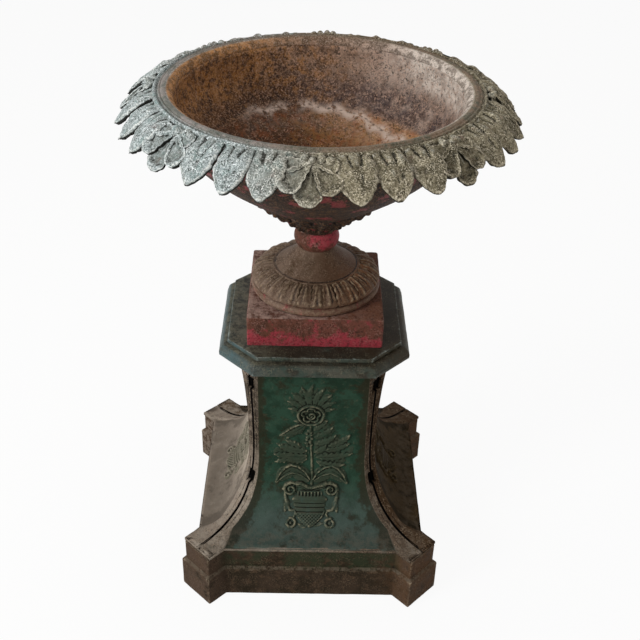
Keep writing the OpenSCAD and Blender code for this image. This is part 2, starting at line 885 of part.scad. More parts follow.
module tie_rod_washers() {
    color("#4b423b")
    for (z = [boss_z - rod_washer_t, bowl_floor_z])
        translate([0, 0, z])
            difference() {
                cylinder(r = rod_washer_r, h = rod_washer_t);
                translate([0, 0, -overcut])
                    cylinder(r = rod_r + rod_clear / 2, h = rod_washer_t + 2 * overcut);
            }
}

base_frame();
panel_front();
panel_right();
panel_back();
panel_left();
corner_bolts();
corner_nuts();
base_bolts();
base_nuts();
cap();
cap_bolts();
urn_foot();
knop();
bowl();
leaf_rim();
rim_screws();
tie_rod();
tie_rod_nuts();
tie_rod_washers();
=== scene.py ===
"""Cast iron garden urn on its panelled pedestal, dressed over the packed CAD frame."""

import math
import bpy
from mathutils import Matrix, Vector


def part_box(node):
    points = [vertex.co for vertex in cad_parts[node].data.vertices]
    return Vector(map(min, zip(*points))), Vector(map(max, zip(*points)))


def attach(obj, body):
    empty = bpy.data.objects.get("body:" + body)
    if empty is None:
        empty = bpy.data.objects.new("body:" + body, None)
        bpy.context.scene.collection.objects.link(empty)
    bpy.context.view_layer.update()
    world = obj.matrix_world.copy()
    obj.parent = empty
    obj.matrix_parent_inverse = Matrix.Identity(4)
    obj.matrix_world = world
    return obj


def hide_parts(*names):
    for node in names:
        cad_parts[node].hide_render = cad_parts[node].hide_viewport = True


bl_info = {
    "name": "Garden Urn Scene",
    "version": (1, 0, 0),
    "blender": (4, 5, 0),
    "location": "3D View > Sidebar > Garden Urn",
    "description": "Builds the painted iron urn, its pedestal and a plain studio",
    "category": "Object",
}

import bpy
import numpy as np
from bpy.props import FloatProperty, FloatVectorProperty, IntProperty, PointerProperty
from mathutils import Matrix, Vector

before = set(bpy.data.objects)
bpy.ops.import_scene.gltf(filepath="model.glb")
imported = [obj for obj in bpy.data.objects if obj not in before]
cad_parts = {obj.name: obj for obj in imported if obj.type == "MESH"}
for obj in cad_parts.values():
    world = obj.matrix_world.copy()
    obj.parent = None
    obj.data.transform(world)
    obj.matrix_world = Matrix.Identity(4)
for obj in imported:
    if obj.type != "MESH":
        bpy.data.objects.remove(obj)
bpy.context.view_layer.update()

# Heights in mm. The CAD model gives the first ones; the rest are given here.
SEAT_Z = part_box("base_frame")[1].z * 1000
CAP_Z, CAP_TOP = [corner.z * 1000 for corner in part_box("cap")]
KNOP_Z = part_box("knop")[0].z * 1000
BOWL_Z, RIM_Z = [corner.z * 1000 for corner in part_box("bowl")]
LIP_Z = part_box("leaf_rim")[1].z * 1000
PLINTH_TOP = 65.0
SLAB_TOP = SEAT_Z + 6.0
WAIST_Z, SWEEP_RISE = 288.0, 170.0
BLOCK_TOP, BAND_Z, BEAD_Z = 571.1, 591.1, 615.1
BOWL_FLOOR_Z = BOWL_Z + 54.0
NOTCH_HEIGHTS = (213.0, 430.0)

# Half widths, radii and walls in mm of the pedestal and then of the urn.
PLINTH_HALF, PLINTH_WALL = 215.0, 9.0
BLOCK_HALF, BLOCK_REACH = 39.6, 306.0
FASCIA_IN = 6.0
SEAT_HOLE_HALF = 110.0
PANEL_WAIST, STRIP_WAIST, PANEL_WALL = 117.0, 152.7, 7.0
TOE_RISE, TOE_LEAST, TOE_SPREAD = 32.0, 13.2, 23.4
SEAM_HALF, FLANGE_BACK = 1.2, 8.2
NOTCH_HALF, NOTCH_DEEP = 9.0, 6.5
CAP_HALF, CAP_CORNER = 166.5, 191.5
FOOT_BLOCK_HALF = 116.7
ROD_HOLE = 9.0
BAND_TOP_RADIUS, FOOT_NECK = 74.5, 31.5
BOWL_NECK, BOWL_SPREAD, BOWL_RISE, BOWL_WALL = 33.3, 206.7, 240.0, 9.0
FLANGE_RADIUS = 261.5
DRAIN_RADIUS, DRAIN_REACH = 6.0, 50.0
TIDE_LEVEL = 828.0

# The ornament's map: where the length along the face is the height, the rose, the least relief.
MAP_LEVEL = 240.0
ROSE = (-3.5, 368.0)
RELIEF_LEAST = 0.05

FASTENERS = (
    "corner_bolts", "corner_nuts", "base_bolts", "base_nuts", "cap_bolts", "rim_screws",
    "tie_rod", "tie_rod_nuts", "tie_rod_washers",
)

# Where the camera stands and looks, with the tilt of the picture.
CAMERA_PLACE = Vector((-0.01431, -1.48976, 1.49045))
CAMERA_AIM = Vector((0.01349, 0.83066, -0.55661))
CAMERA_TILT = math.radians(1.617)
CAMERA_LENS = 55.094
BACKGROUND_SHARE = 0.93


def linear(code):
    """Linear colour of a hex paint code."""
    parts = [int(code[i : i + 2], 16) / 255 for i in (0, 2, 4)]
    return tuple(p / 12.92 if p <= 0.04045 else ((p + 0.055) / 1.055) ** 2.4 for p in parts)


def length(name, about, default):
    """A size in metres that a user can change."""
    return FloatProperty(name=name, description=about, default=default, min=0.0, unit="LENGTH")


def strength(name, about, default):
    """The strength of a light that a user can change."""
    return FloatProperty(name=name, description=about, default=default, min=0.0)


def number(name, about, default, low, high):
    """A count that a user can change."""
    return IntProperty(name=name, description=about, default=default, min=low, max=high)


def portion(name, about, default, low, high):
    """A plain factor that a user can change."""
    return FloatProperty(name=name, description=about, default=default, min=low, max=high)


def tint(name, about, code):
    """A colour that a user can change."""
    return FloatVectorProperty(
        name=name, description=about, default=linear(code), subtype="COLOR", size=3, min=0.0, max=1.0
    )


class UrnPedestalSizes(bpy.types.PropertyGroup):
    """Sizes of the pedestal's castings"""

    edge_soft: length("Worn edge", "Rounding of the base frame's worn edges", 0.0025)
    cap_groove: length("Cap groove", "Depth of the groove above the cap's moulding", 0.002)
    panel_step: length("Panel mesh", "Size of the faces on a panel", 0.0048)
    relief_step: length("Relief mesh", "Size of the faces on the flower and vase", 0.0013)
    relief_gain: portion("Relief gain", "How boldly the ornament stands out", 1.0, 0.2, 1.5)


class UrnRimSizes(bpy.types.PropertyGroup):
    """Sizes and numbers of the leaves round the rim, the bowl and the foot"""

    fan_count: number("Fans", "Fan leaves round the rim", 8, 4, 12)
    pointed_count: number("Pointed leaves", "Pointed leaves between two fans", 3, 1, 5)
    fan_share: portion("Fan share", "Share of a sector that a fan takes", 0.32, 0.2, 0.5)
    turn: FloatProperty(
        name="Turn", description="Turn of the rim", default=math.radians(-2.4), subtype="ANGLE"
    )
    leaf_thick: length("Leaf thickness", "Thickness of a leaf at its middle", 0.006)
    calyx_count: number("Calyx leaves", "Leaves under the bowl", 16, 6, 32)
    calyx_height: length("Calyx relief", "How far the leaves under the bowl stand out", 0.009)
    frond_count: number("Fronds", "Fronds round the foot", 30, 12, 60)


class UrnCastSkin(bpy.types.PropertyGroup):
    """Unevenness of the old castings"""

    lump_depth: length("Lump depth", "Depth of the slow waves in the castings", 0.0007)
    lump_size: length("Lump size", "Distance between the slow waves", 0.045)
    pit_depth: length("Pit depth", "Depth of the rust pits", 0.00035)
    pit_size: length("Pit size", "Distance between the rust pits", 0.007)


class UrnPaints(bpy.types.PropertyGroup):
    """Colours of the old paints, rusts and crusts"""

    green: tint("Panel green", "Dark green paint of the front panel", "2a4133")
    # Partly painted shade: the brown is darker for the right panel, on the side away from the lamp.
    brown: tint("Panel brown", "Dark brown paint of the other panels", "2a1e0d")
    # Partly painted light: the grey is paler for the left panel, on the side that the lamp lights.
    grey: tint("Panel grey", "Grey brown paint of the left panel", "aa9d8d")
    cap: tint("Cap green", "Grey green paint of the cap", "303a32")
    crimson: tint("Crimson", "Red paint left on the urn", "98323d")
    rust: tint("Rust", "Dark brown rust", "382c21")
    orange: tint("Orange rust", "Bright rust inside the bowl", "bb844f")
    patina: tint("Patina", "Pale crust of the rim", "9ca4a2")
    dust: tint("Dust", "Pale dust on the ledges", "675c4e")


class UrnStudio(bpy.types.PropertyGroup):
    """Light and floor"""

    sky: strength("Sky", "Strength of the even light", 0.42)
    key: strength("Key lamp", "Power of the lamp on the left", 100.0)
    fill: strength("Fill lamp", "Power of the lamp on the right", 5.0)
    top: strength("Top lamp", "Power of the lamp overhead", 18.0)
    floor: tint("Floor", "Colour of the floor", "dedcd8")


# Meshes. Shapes are worked out in mm and become metres when the mesh is made.

NO_TRIS = np.zeros((0, 3), int)


def grid_faces(rows, columns, wrap_rows=False, wrap_columns=False):
    """Quads of a grid of points, joined round where asked."""
    i = np.arange(rows if wrap_rows else rows - 1)
    j = np.arange(columns if wrap_columns else columns - 1)
    i, j = [part.ravel() for part in np.meshgrid(i, j, indexing="ij")]
    i_next, j_next = (i + 1) % rows, (j + 1) % columns
    return np.stack(
        [i * columns + j, i * columns + j_next, i_next * columns + j_next, i_next * columns + j], 1
    )


def loft(loops, joined=False):
    """A closed shell through closed loops, with a fan on each end unless the ends are joined."""
    rows, columns = loops.shape[:2]
    points = loops.reshape(-1, 3)
    quads = grid_faces(rows, columns, joined, True)
    if joined:
        return points, quads, NO_TRIS
    j = np.arange(columns)
    j_next = (j + 1) % columns
    first, last = rows * columns, rows * columns + 1
    start = (rows - 1) * columns
    tris = np.concatenate(
        [
            np.stack([np.full(columns, first), j_next, j], 1),
            np.stack([np.full(columns, last), start + j, start + j_next], 1),
        ]
    )
    points = np.concatenate([points, loops[0].mean(0)[None], loops[-1].mean(0)[None]])
    return points, quads, tris


def eased(loops, soft, step, pattern=None):
    """A closed way through loops or points, its corners rounded and its sides divided as a pattern's are."""
    loops = np.asarray(loops, float)
    count = len(loops)
    soft = np.broadcast_to(soft, (count,))
    reach = soft.reshape((count,) + (1,) * (loops.ndim - 1))
    after = np.roll(loops, -1, 0) - loops
    size = np.maximum(np.linalg.norm(after, axis=-1, keepdims=True), 1e-6)
    leave = loops + after / size * np.minimum(reach, size * 0.45)
    enter = loops - np.roll(after / size, 1, 0) * np.minimum(reach, np.roll(size, 1, 0) * 0.45)
    if pattern is not None:
        size = np.linalg.norm(np.roll(pattern, -1, 0) - pattern, axis=1)
    made = []
    for i in range(count):
        shares = (0.0, 0.25, 0.5, 0.75, 1.0) if soft[i] > 0.01 else (0.5,)
        made += [(1 - t) ** 2 * enter[i] + 2 * t * (1 - t) * loops[i] + t * t * leave[i] for t in shares]
        parts = int(max(1, round(float(np.mean(size[i])) / step)))
        side = enter[(i + 1) % count] - leave[i]
        made += [leave[i] + side * k / parts for k in range(1, parts)]
    return np.array(made)


def at_height(plan, z):
    """A flat loop of plan points lifted to a height."""
    return np.column_stack([plan, np.full(len(plan), z)])


def stacked(rows, step):
    """A hollow casting from rows of a plan, its height and how soft its edge is, all the way round."""
    loops = [at_height(plan, z) for plan, z, _ in rows]
    return loft(eased(loops, [soft for _, _, soft in rows], step), joined=True)


def four_corners(corner):
    """The points of one corner, turned to all four."""
    return np.concatenate([turned(corner, a) for a in (0, 90, 180, 270)])


def to_square(plan, half):
    """The loop's points moved along their rays to a square."""
    return plan * (half / np.abs(plan).max(1))[:, None]


def to_circle(plan, radius):
    """The loop's points moved along their rays to a circle."""
    return plan * (radius / np.hypot(plan[:, 0], plan[:, 1]))[:, None]


def circle(count, radius=1.0):
    """Points of a circle, the first on -Y."""
    a = np.arange(count) * 2 * math.pi / count
    return radius * np.column_stack([np.sin(a), -np.cos(a)])


def lathe(profile, count):
    """Loops of a turned shape from a row of radius and height."""
    ring = circle(count)
    return np.array([at_height(ring * r, z) for r, z in profile])


def divided(profile, step):
    """A row of points with more between them, so that none are farther apart than a step."""
    made = [profile[0]]
    for a, b in zip(profile[:-1], profile[1:]):
        parts = max(1, int(math.ceil(math.dist(a, b) / step)))
        for k in range(1, parts + 1):
            made.append([a[0] + (b[0] - a[0]) * k / parts, a[1] + (b[1] - a[1]) * k / parts])
    return np.array(made)


def moved_in(line, by):
    """An outline moved inwards, square to itself."""
    way = np.gradient(line, axis=0)
    way /= np.linalg.norm(way, axis=1)[:, None]
    return line + by * np.column_stack([-way[:, 1], way[:, 0]])


def smooth(value, low, high):
    """0 below low, 1 above high, and a soft step between."""
    t = np.clip((value - low) / (high - low), 0, 1)
    return t * t * (3 - 2 * t)


def bell(value, middle, half):
    """A soft hump of height 1."""
    return np.exp(-(((value - middle) / half) ** 2))


def turned(points, degrees):
    """Points turned about the urn's axis."""
    a = math.radians(degrees)
    x, y = points[..., 0], points[..., 1]
    out = points.copy()
    out[..., 0] = x * math.cos(a) - y * math.sin(a)
    out[..., 1] = x * math.sin(a) + y * math.cos(a)
    return out


def volume(points, quads, tris):
    """Signed volume inside a shell."""
    thirds = np.concatenate([quads[:, :3], quads[:, [0, 2, 3]], tris])
    a, b, c = thirds.T
    return np.einsum("ij,ij->", points[a], np.cross(points[b], points[c])) / 6


class Casting:
    """Gathers closed shells in mm and makes one mesh of them in metres."""

    def __init__(self):
        self.points, self.quads, self.tris, self.marks = [], [], [], []
        self.count = 0

    def add(self, shell, **marks):
        """Adds a shell, its faces turned outwards, with marks for its points."""
        points, quads, tris = shell
        if volume(points, quads, tris) < 0:
            quads, tris = quads[:, ::-1], tris[:, ::-1]
        self.points.append(points)
        self.quads.append(quads + self.count)
        self.tris.append(tris + self.count)
        self.marks.append((len(points), marks))
        self.count += len(points)

    def mesh(self, name):
        """One mesh of all the shells, each mark in an attribute of its name."""
        points = np.concatenate(self.points) * 0.001
        quads, tris = np.concatenate(self.quads), np.concatenate(self.tris)
        corners = np.concatenate([quads.ravel(), tris.ravel()]).astype(np.int32)
        sizes = np.concatenate([np.full(len(quads), 4), np.full(len(tris), 3)]).astype(np.int32)
        starts = np.concatenate([[0], np.cumsum(sizes)[:-1]]).astype(np.int32)
        mesh = bpy.data.meshes.new(name)
        mesh.vertices.add(len(points))
        mesh.vertices.foreach_set("co", points.astype(np.float32).ravel())
        mesh.loops.add(len(corners))
        mesh.loops.foreach_set("vertex_index", corners)
        mesh.polygons.add(len(sizes))
        mesh.polygons.foreach_set("loop_start", starts)
        mesh.update(calc_edges=True)
        mesh.validate()
        for mark in sorted({key for _, marks in self.marks for key in marks}):
            values = [np.broadcast_to(marks.get(mark, 0.0), (size,)) for size, marks in self.marks]
            store(mesh, mark, np.concatenate(values))
        return mesh


def cast_piece(name, *shells):
    """A new piece of the scene from closed shells in mm, each with its marks."""
    casting = Casting()
    for shell, marks in shells:
        casting.add(shell, **marks)
    return new_piece(name, casting.mesh(name))


def store(mesh, name, values):
    """Keeps one number for each point of a mesh."""
    layer = mesh.attributes.new(name, "FLOAT", "POINT")
    layer.data.foreach_set("value", values.astype(np.float32))


def read(collection, name, width, kind=np.float32):
    """Numbers of a mesh's points or edges, one row for each."""
    values = np.zeros(len(collection) * width, kind)
    collection.foreach_get(name, values)
    return values.reshape(-1, width)


def mark_proud(mesh, rounds):
    """Stores how far each point stands out of its surroundings, in mm."""
    points = read(mesh.vertices, "co", 3).astype(float) * 1000
    normals = read(mesh.vertex_normals, "vector", 3)
    a, b = read(mesh.edges, "vertices", 2, np.int32).T
    count = len(points)
    weight = np.maximum(np.bincount(a, minlength=count) + np.bincount(b, minlength=count), 1)
    settled = points.copy()
    for _ in range(rounds):
        sums = [
            np.bincount(a, settled[b, k], count) + np.bincount(b, settled[a, k], count) for k in range(3)
        ]
        settled = 0.4 * settled + 0.6 * np.column_stack(sums) / weight[:, None]
    store(mesh, "proud", np.einsum("ij,ij->i", points - settled, normals))


# Node trees, for the looks of the surfaces and for what repeats round the urn.


def by(operation, swapped=False):
    """A method that works a socket out with another value, in one Math node."""

    def work_out(self, other=0.0):
        first, second = (other, self) if swapped else (self, other)
        return self.nodes.node("ShaderNodeMath", {"operation": operation}, {0: first, 1: second})

    return work_out


class Value:
    """A socket that can be added, taken away, multiplied, divided and raised."""

    def __init__(self, nodes, socket):
        self.nodes = nodes
        self.socket = socket

    __add__, __radd__ = by("ADD"), by("ADD", True)
    __sub__, __rsub__ = by("SUBTRACT"), by("SUBTRACT", True)
    __mul__, __rmul__ = by("MULTIPLY"), by("MULTIPLY", True)
    __truediv__, __rtruediv__ = by("DIVIDE"), by("DIVIDE", True)
    __pow__, __rpow__ = by("POWER"), by("POWER", True)
    __mod__ = by("FLOORED_MODULO")
    whole = by("FLOOR")
    most = by("MAXIMUM")

    def step(self, low, high):
        """0 at low, 1 at high and a soft step between, also when low is above high."""
        inputs = {0: self, 1: low, 2: high, 3: 0.0, 4: 1.0}
        return self.nodes.node("ShaderNodeMapRange", {"interpolation_type": "SMOOTHSTEP"}, inputs)


class Nodes:
    """Adds nodes to a tree, each with its settings first and then its sockets."""

    def __init__(self, tree):
        self.tree = tree
        tree.nodes.clear()

    def node(self, kind, settings=None, inputs=None, output=0):
        """Adds a node and gives back one of its outputs."""
        made = self.tree.nodes.new(kind)
        for name, value in (settings or {}).items():
            setattr(made, name, value)
        for key, value in (inputs or {}).items():
            socket = made.inputs[key]
            for part in value if isinstance(value, list) else [value]:
                if isinstance(part, Value):
                    self.tree.links.new(part.socket, socket)
                elif socket.type == "RGBA" and len(part) == 3:
                    socket.default_value = (*part, 1.0)
                else:
                    socket.default_value = part
        return Value(self, made.outputs[output]) if made.outputs else made

    def moved(self, place, shift):
        """A place moved by a vector."""
        return self.node("ShaderNodeVectorMath", {"operation": "ADD"}, {0: place, 1: shift})


class Finish(Nodes):
    """A surface built up in coats, from bare casting to dust."""

    def __init__(self, name, ground, roughness):
        self.material = bpy.data.materials.new(name)
        self.material.use_nodes = True
        super().__init__(self.material.node_tree)
        self.place = self.node("ShaderNodeTexCoord", output="Object")
        self.x, self.y, self.z = [self.part(self.place, axis) for axis in range(3)]
        self.up = self.part(self.node("ShaderNodeNewGeometry", output="Normal"), 2)
        self.colour = self.node("ShaderNodeRGB")
        self.colour.socket.default_value = (*ground, 1.0)
        self.rough = self.node("ShaderNodeMath", {"operation": "ADD"}, {0: roughness, 1: 0.0})
        self.heights = []
        self.seed = 0.0

    def part(self, vector, axis):
        """One of a vector's three parts."""
        return self.node("ShaderNodeSeparateXYZ", inputs={0: vector}, output=axis)

    def elsewhere(self):
        """The place moved to a part of the noise that no other coat uses."""
        self.seed += 1.0
        return self.moved(self.place, (self.seed, self.seed * 0.7, -self.seed))

    def noise(self, size_mm, grain=0.72):
        """A noise round 0.5, with its largest waves of a size."""
        inputs = {"Vector": self.elsewhere(), "Scale": 1000 / size_mm, "Detail": 6.0, "Roughness": grain}
        return self.node("ShaderNodeTexNoise", inputs=inputs)

    def cells(self, size_mm):
        """The distance from the middle of round pits of a size."""
        inputs = {"Vector": self.elsewhere(), "Scale": 1000 / size_mm}
        return self.node("ShaderNodeTexVoronoi", {"feature": "F1"}, inputs)

    def mark(self, name):
        """A mark that the casting carries at its points."""
        settings = {"attribute_name": name, "attribute_type": "GEOMETRY"}
        return self.node("ShaderNodeAttribute", settings, output="Fac")

    def mix(self, factor, first, second):
        """Two colours mixed, each a paint code, a colour or a socket."""
        first, second = [linear(part) if isinstance(part, str) else part for part in (first, second)]
        return self.node("ShaderNodeMix", {"data_type": "RGBA"}, {0: factor, 6: first, 7: second}, output=2)

    def lay(self, colour, mask, roughness=None):
        """Lays a coat over what is there, where the mask is 1."""
        self.colour = self.mix(mask, self.colour, colour)
        if roughness is not None:
            self.rough = self.rough + (roughness - self.rough) * mask

    def dab(self, colour, size_mm, low, high, share=1.0, roughness=None):
        """Lays a coat in patches, where a noise of a size goes from low to high."""
        self.lay(colour, self.noise(size_mm).step(low, high) * share, roughness)

    def speckle(self, size_mm, dark, pale, share=1.0):
        """Lays dark and pale specks."""
        grain = self.noise(size_mm, 0.8)
        self.lay(dark, grain.step(0.475, 0.42) * share)
        self.lay(pale, grain.step(0.525, 0.58) * share)

    def worn(self, hollow, edge, depth, height, share=1.0):
        """Darkens the hollows as painted shade, and pales the edges that stand out, partly wear and partly
        painted highlight; depth and height are in mm out of the surroundings.
        """
        proud = self.mark("proud")
        self.lay(hollow, proud.step(depth * -0.2, -depth) * 0.9)
        self.dab(edge, 6, 0.42, 0.56, proud.step(height * 0.3, height) * share)

    def height(self, value, depth_mm):
        """Adds a fine relief, with its depth."""
        self.heights.append(value * depth_mm)

    def done(self, metal=0.0, coat=0.0, specular=0.25):
        """Closes the tree with the relief and the surface, and gives the material."""
        total = self.heights[0]
        for more in self.heights[1:]:
            total = total + more
        relief = {"Strength": 1.0, "Distance": 0.001, "Height": total}
        surface = {
            "Base Color": self.colour, "Roughness": self.rough, "Metallic": metal, "Coat Weight": coat,
            "Coat Roughness": 0.35, "Specular IOR Level": specular,
            "Normal": self.node("ShaderNodeBump", inputs=relief, output="Normal"),
        }
        shown = self.node("ShaderNodeBsdfPrincipled", inputs=surface)
        self.node("ShaderNodeOutputMaterial", inputs={"Surface": shown})
        return self.material


class GeometryTree(Nodes):
    """A Geometry Nodes tree with named inputs, that ends in plain faces with a material."""

    def __init__(self, name, sockets):
        self.group = bpy.data.node_groups.new(name, "GeometryNodeTree")
        super().__init__(self.group)
        self.names = {}
        self.socket("Geometry", "Geometry", "OUTPUT")
        self.socket("Geometry", "Geometry")
        for label, kind in sockets.items():
            self.names[label] = self.socket(label, kind)
        self.names["Material"] = self.socket("Material", "Material")
        self.entry = self.tree.nodes.new("NodeGroupInput")

    def socket(self, label, kind, way="INPUT"):
        """Adds a named socket to the group and gives its identifier."""
        made = self.group.interface.new_socket(label, in_out=way, socket_type="NodeSocket" + kind)
        return made.identifier

    def given(self, label):
        """What the group's user gives for a named input."""
        return Value(self, self.entry.outputs[label])

    def close(self, geometry):
        """Ends the tree in real faces with the material."""
        plain = self.node("GeometryNodeRealizeInstances", inputs={0: geometry})
        inputs = {"Geometry": plain, "Material": self.given("Material")}
        self.node("NodeGroupOutput", inputs={0: self.node("GeometryNodeSetMaterial", inputs=inputs)})

    def uneven(self, geometry, kind, seed, gain=1.0):
        """Moves the points in and out by a noise, as deep and large as the inputs for its kind say."""
        place = self.node("GeometryNodeInputPosition")
        shift = self.node("ShaderNodeCombineXYZ", inputs={0: seed, 1: seed * 0.61, 2: seed * -0.37})
        waves = {"Vector": self.moved(place, shift), "Scale": 1.0 / self.given(f"{kind} size"), "Detail": 2.0}
        noise = self.node("ShaderNodeTexNoise", inputs=waves)
        push = {
            0: self.node("GeometryNodeInputNormal"),
            "Scale": (noise - 0.5) * 2.0 * self.given(f"{kind} depth") * gain,
        }
        push = self.node("ShaderNodeVectorMath", {"operation": "SCALE"}, push)
        return self.node("GeometryNodeSetPosition", inputs={"Geometry": geometry, "Offset": push})

    def random(self, seed, output=1, **limits):
        """A random share for each leaf, or a number between limits."""
        inputs = {2: limits["low"], 3: limits["high"]} if limits else {}
        return self.node("FunctionNodeRandomValue", {"data_type": "FLOAT"}, {**inputs, "Seed": seed}, output)

    def run(self, piece, **values):
        """Puts the tree on a piece, keeps the plain result as its mesh and takes the tree off."""
        modifier = piece.modifiers.new(self.group.name, "NODES")
        modifier.node_group = self.group
        for label, value in values.items():
            modifier[self.names[label.replace("_", " ").capitalize()]] = value
        keep_result(piece)


def keep_result(piece):
    """Turns what the modifiers make of a piece into its own mesh."""
    graph = bpy.context.evaluated_depsgraph_get()
    graph.update()
    made = bpy.data.meshes.new_from_object(piece.evaluated_get(graph))
    piece.modifiers.clear()
    old = piece.data
    piece.data = made
    bpy.data.meshes.remove(old)


def drop(piece):
    """Takes a helper piece and its mesh away."""
    mesh = piece.data
    bpy.data.objects.remove(piece)
    bpy.data.meshes.remove(mesh)


def skin_tree():
    """Slow waves and rust pits of an old casting, deeper where the mark called rough is set."""
    sizes = ("Lump depth", "Lump size", "Pit depth", "Pit size", "Seed")
    tree = GeometryTree("Cast skin", dict.fromkeys(sizes, "Float"))
    seed = tree.given("Seed")
    wavy = tree.uneven(tree.given("Geometry"), "Lump", seed)
    rough = tree.node("GeometryNodeInputNamedAttribute", {"data_type": "FLOAT"}, {"Name": "rough"})
    tree.close(tree.uneven(wavy, "Pit", seed + 3.0, rough * 5.0 + 1.0))
    return tree


def leaf_turn(tree, index):
    """The turn of each leaf round the axis: its group's, its own in the group and some play."""
    group, play = tree.given("Group"), tree.given("Turn play")
    play = tree.random(tree.given("Seed"), low=play * -1.0, high=play)
    turn = (
        tree.given("First turn")
        + (index / group).whole() * tree.given("Group turn")
        + (index % group) * tree.given("Step turn")
        + play
    )
    spin = tree.node("ShaderNodeCombineXYZ", inputs={2: turn})
    return tree.node("FunctionNodeEulerToRotation", inputs={0: spin})


def leaf_kind(tree, label):
    """One of the given leaves, as an instance."""
    inputs = {"Object": tree.given(label), "As Instance": True}
    return tree.node("GeometryNodeObjectInfo", inputs=inputs, output="Geometry")


def ring_tree():
    """Sets leaves round the axis, in groups, each of the kinds in turn."""
    leaves = ("Leaf one", "Leaf two", "Leaf three")
    turns = ("Group turn", "First turn", "Step turn", "Turn play")
    sockets = {
        **dict.fromkeys(("Count", "Group", "Seed"), "Int"), **dict.fromkeys(turns, "Float"),
        **dict.fromkeys(leaves, "Object"), **dict.fromkeys(("Lump depth", "Lump size"), "Float"),
    }
    tree = GeometryTree("Leaf ring", sockets)
    index = tree.node("GeometryNodeInputIndex")
    kinds = [leaf_kind(tree, label) for label in leaves]
    inputs = {
        "Points": tree.node("GeometryNodePoints", inputs={"Count": tree.given("Count")}),
        "Instance": tree.node("GeometryNodeJoinGeometry", inputs={0: kinds}),
        "Pick Instance": True, "Instance Index": index % 3.0, "Rotation": leaf_turn(tree, index),
    }
    placed = tree.node("GeometryNodeInstanceOnPoints", inputs=inputs)
    settings = {"data_type": "FLOAT", "domain": "INSTANCE"}
    inputs = {"Geometry": placed, "Name": "tone", "Value": tree.random(tree.given("Seed"))}
    toned = tree.node("GeometryNodeStoreNamedAttribute", settings, inputs)
    plain = tree.node("GeometryNodeRealizeInstances", inputs={0: toned})
    tree.close(tree.uneven(plain, "Lump", 1.7))
    return tree


def finish_piece(piece, material, body, node, seed, pits=1.0, rounds=12):
    """Gives a piece its cast skin, its mark of how far each point stands out, used for wear and painted
    light, and its place in the frame.
    """
    skin = bpy.context.scene.urn_skin
    skin_tree().run(
        piece, lump_depth=skin.lump_depth, lump_size=skin.lump_size, pit_depth=skin.pit_depth * pits,
        pit_size=skin.pit_size, seed=seed, material=material,
    )
    for point in piece.data.vertices:
        point.co.z = max(point.co.z, 0.0)
    mark_proud(piece.data, rounds)
    piece.data.shade_smooth()
    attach(piece, body)
    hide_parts(node)


def new_piece(name, mesh):
    """Adds a mesh to the scene as an object at the origin."""
    piece = bpy.data.objects.new(name, mesh)
    bpy.context.scene.collection.objects.link(piece)
    return piece


# Finishes.


def rusty_base(paints):
    """Dark rusty iron of the base frame, with pale dust on its ledges."""
    coat = Finish("Rusty base iron", paints.rust, 0.75)
    coat.dab("271f14", 60, 0.42, 0.58)
    corner = coat.x.most(coat.x * -1.0).step(0.145, 0.18)
    coat.dab("4f3e32", 26, 0.34, 0.54, corner * 0.75)
    coat.dab("4d3c2d", 16, 0.5, 0.64, 0.7)
    # Warmer brown towards the right: a painted tint of the warm shade on that side.
    coat.dab("543a24", 30, 0.36, 0.54, coat.x.step(0.1, 0.2) * 0.6)
    back_left = coat.x.step(-0.16, -0.23) * coat.y.step(-0.2, 0.05)
    coat.dab("85786b", 12, 0.44, 0.6, back_left * 0.75)
    mossy = coat.z.step(0.063, 0.07) * coat.y.step(-0.15, -0.2) * (1.0 - corner)
    coat.dab("28301f", 34, 0.4, 0.56, mossy * 0.75, 0.6)
    coat.speckle(3, "1a140d", "6e5c4a", coat.noise(22).step(0.42, 0.6) * 0.6)
    coat.worn("120e0a", "a4917a", 0.6, 0.6, coat.up.step(0.15, 0.45) * 0.65 + 0.35)
    # A dark line along the top of the front fascia: the painted shadow under the panels' slab.
    painted_ledge_shadow = coat.z.step(0.108, 0.111) * coat.y.step(-0.12, -0.16) * (1.0 - corner)
    coat.lay("1f1711", painted_ledge_shadow * 0.75)
    coat.dab(paints.dust, 8, 0.38, 0.58, coat.up.step(0.25, 0.8) * 0.6, 0.9)
    coat.height(coat.noise(5), 1.6)
    coat.height(coat.cells(3.2), 0.3)
    return coat.done(specular=0.07)


# Panel, angle, slot and paint, and the codes of its deep, low and worn paint, dirt, strip, flower and light.
PANEL_LOOKS = (
    (
        "front", 0, "green_painted_iron", "green",
        "1e3024", "49554e", "5d5744", "2a2418", "766a5d", "383e31", "827b64",
    ),
    # The right panel's darker codes are partly painted shade, on the side away from the lamp.
    (
        "right", 90, "brown_painted_iron", "brown",
        "1c1508", "3c2d18", "43361f", "181106", "4a3826", "2c2212", "54462f",
    ),
    (
        "back", 180, "brown_painted_iron", "brown",
        "1f1709", "3d3120", "43361f", "1b1409", "4a3826", "2c2212", "5a4c35",
    ),
    # The left panel's pale codes are partly painted light: a lighter copy of the brown paint, for the side
    # that the lamp lights.
    (
        "left", 270, "grey_brown_iron", "grey",
        "ab9d8d", "776b5f", "b5a99a", "62584e", "85776a", "5f5c4c", "8f8576",
    ),
)


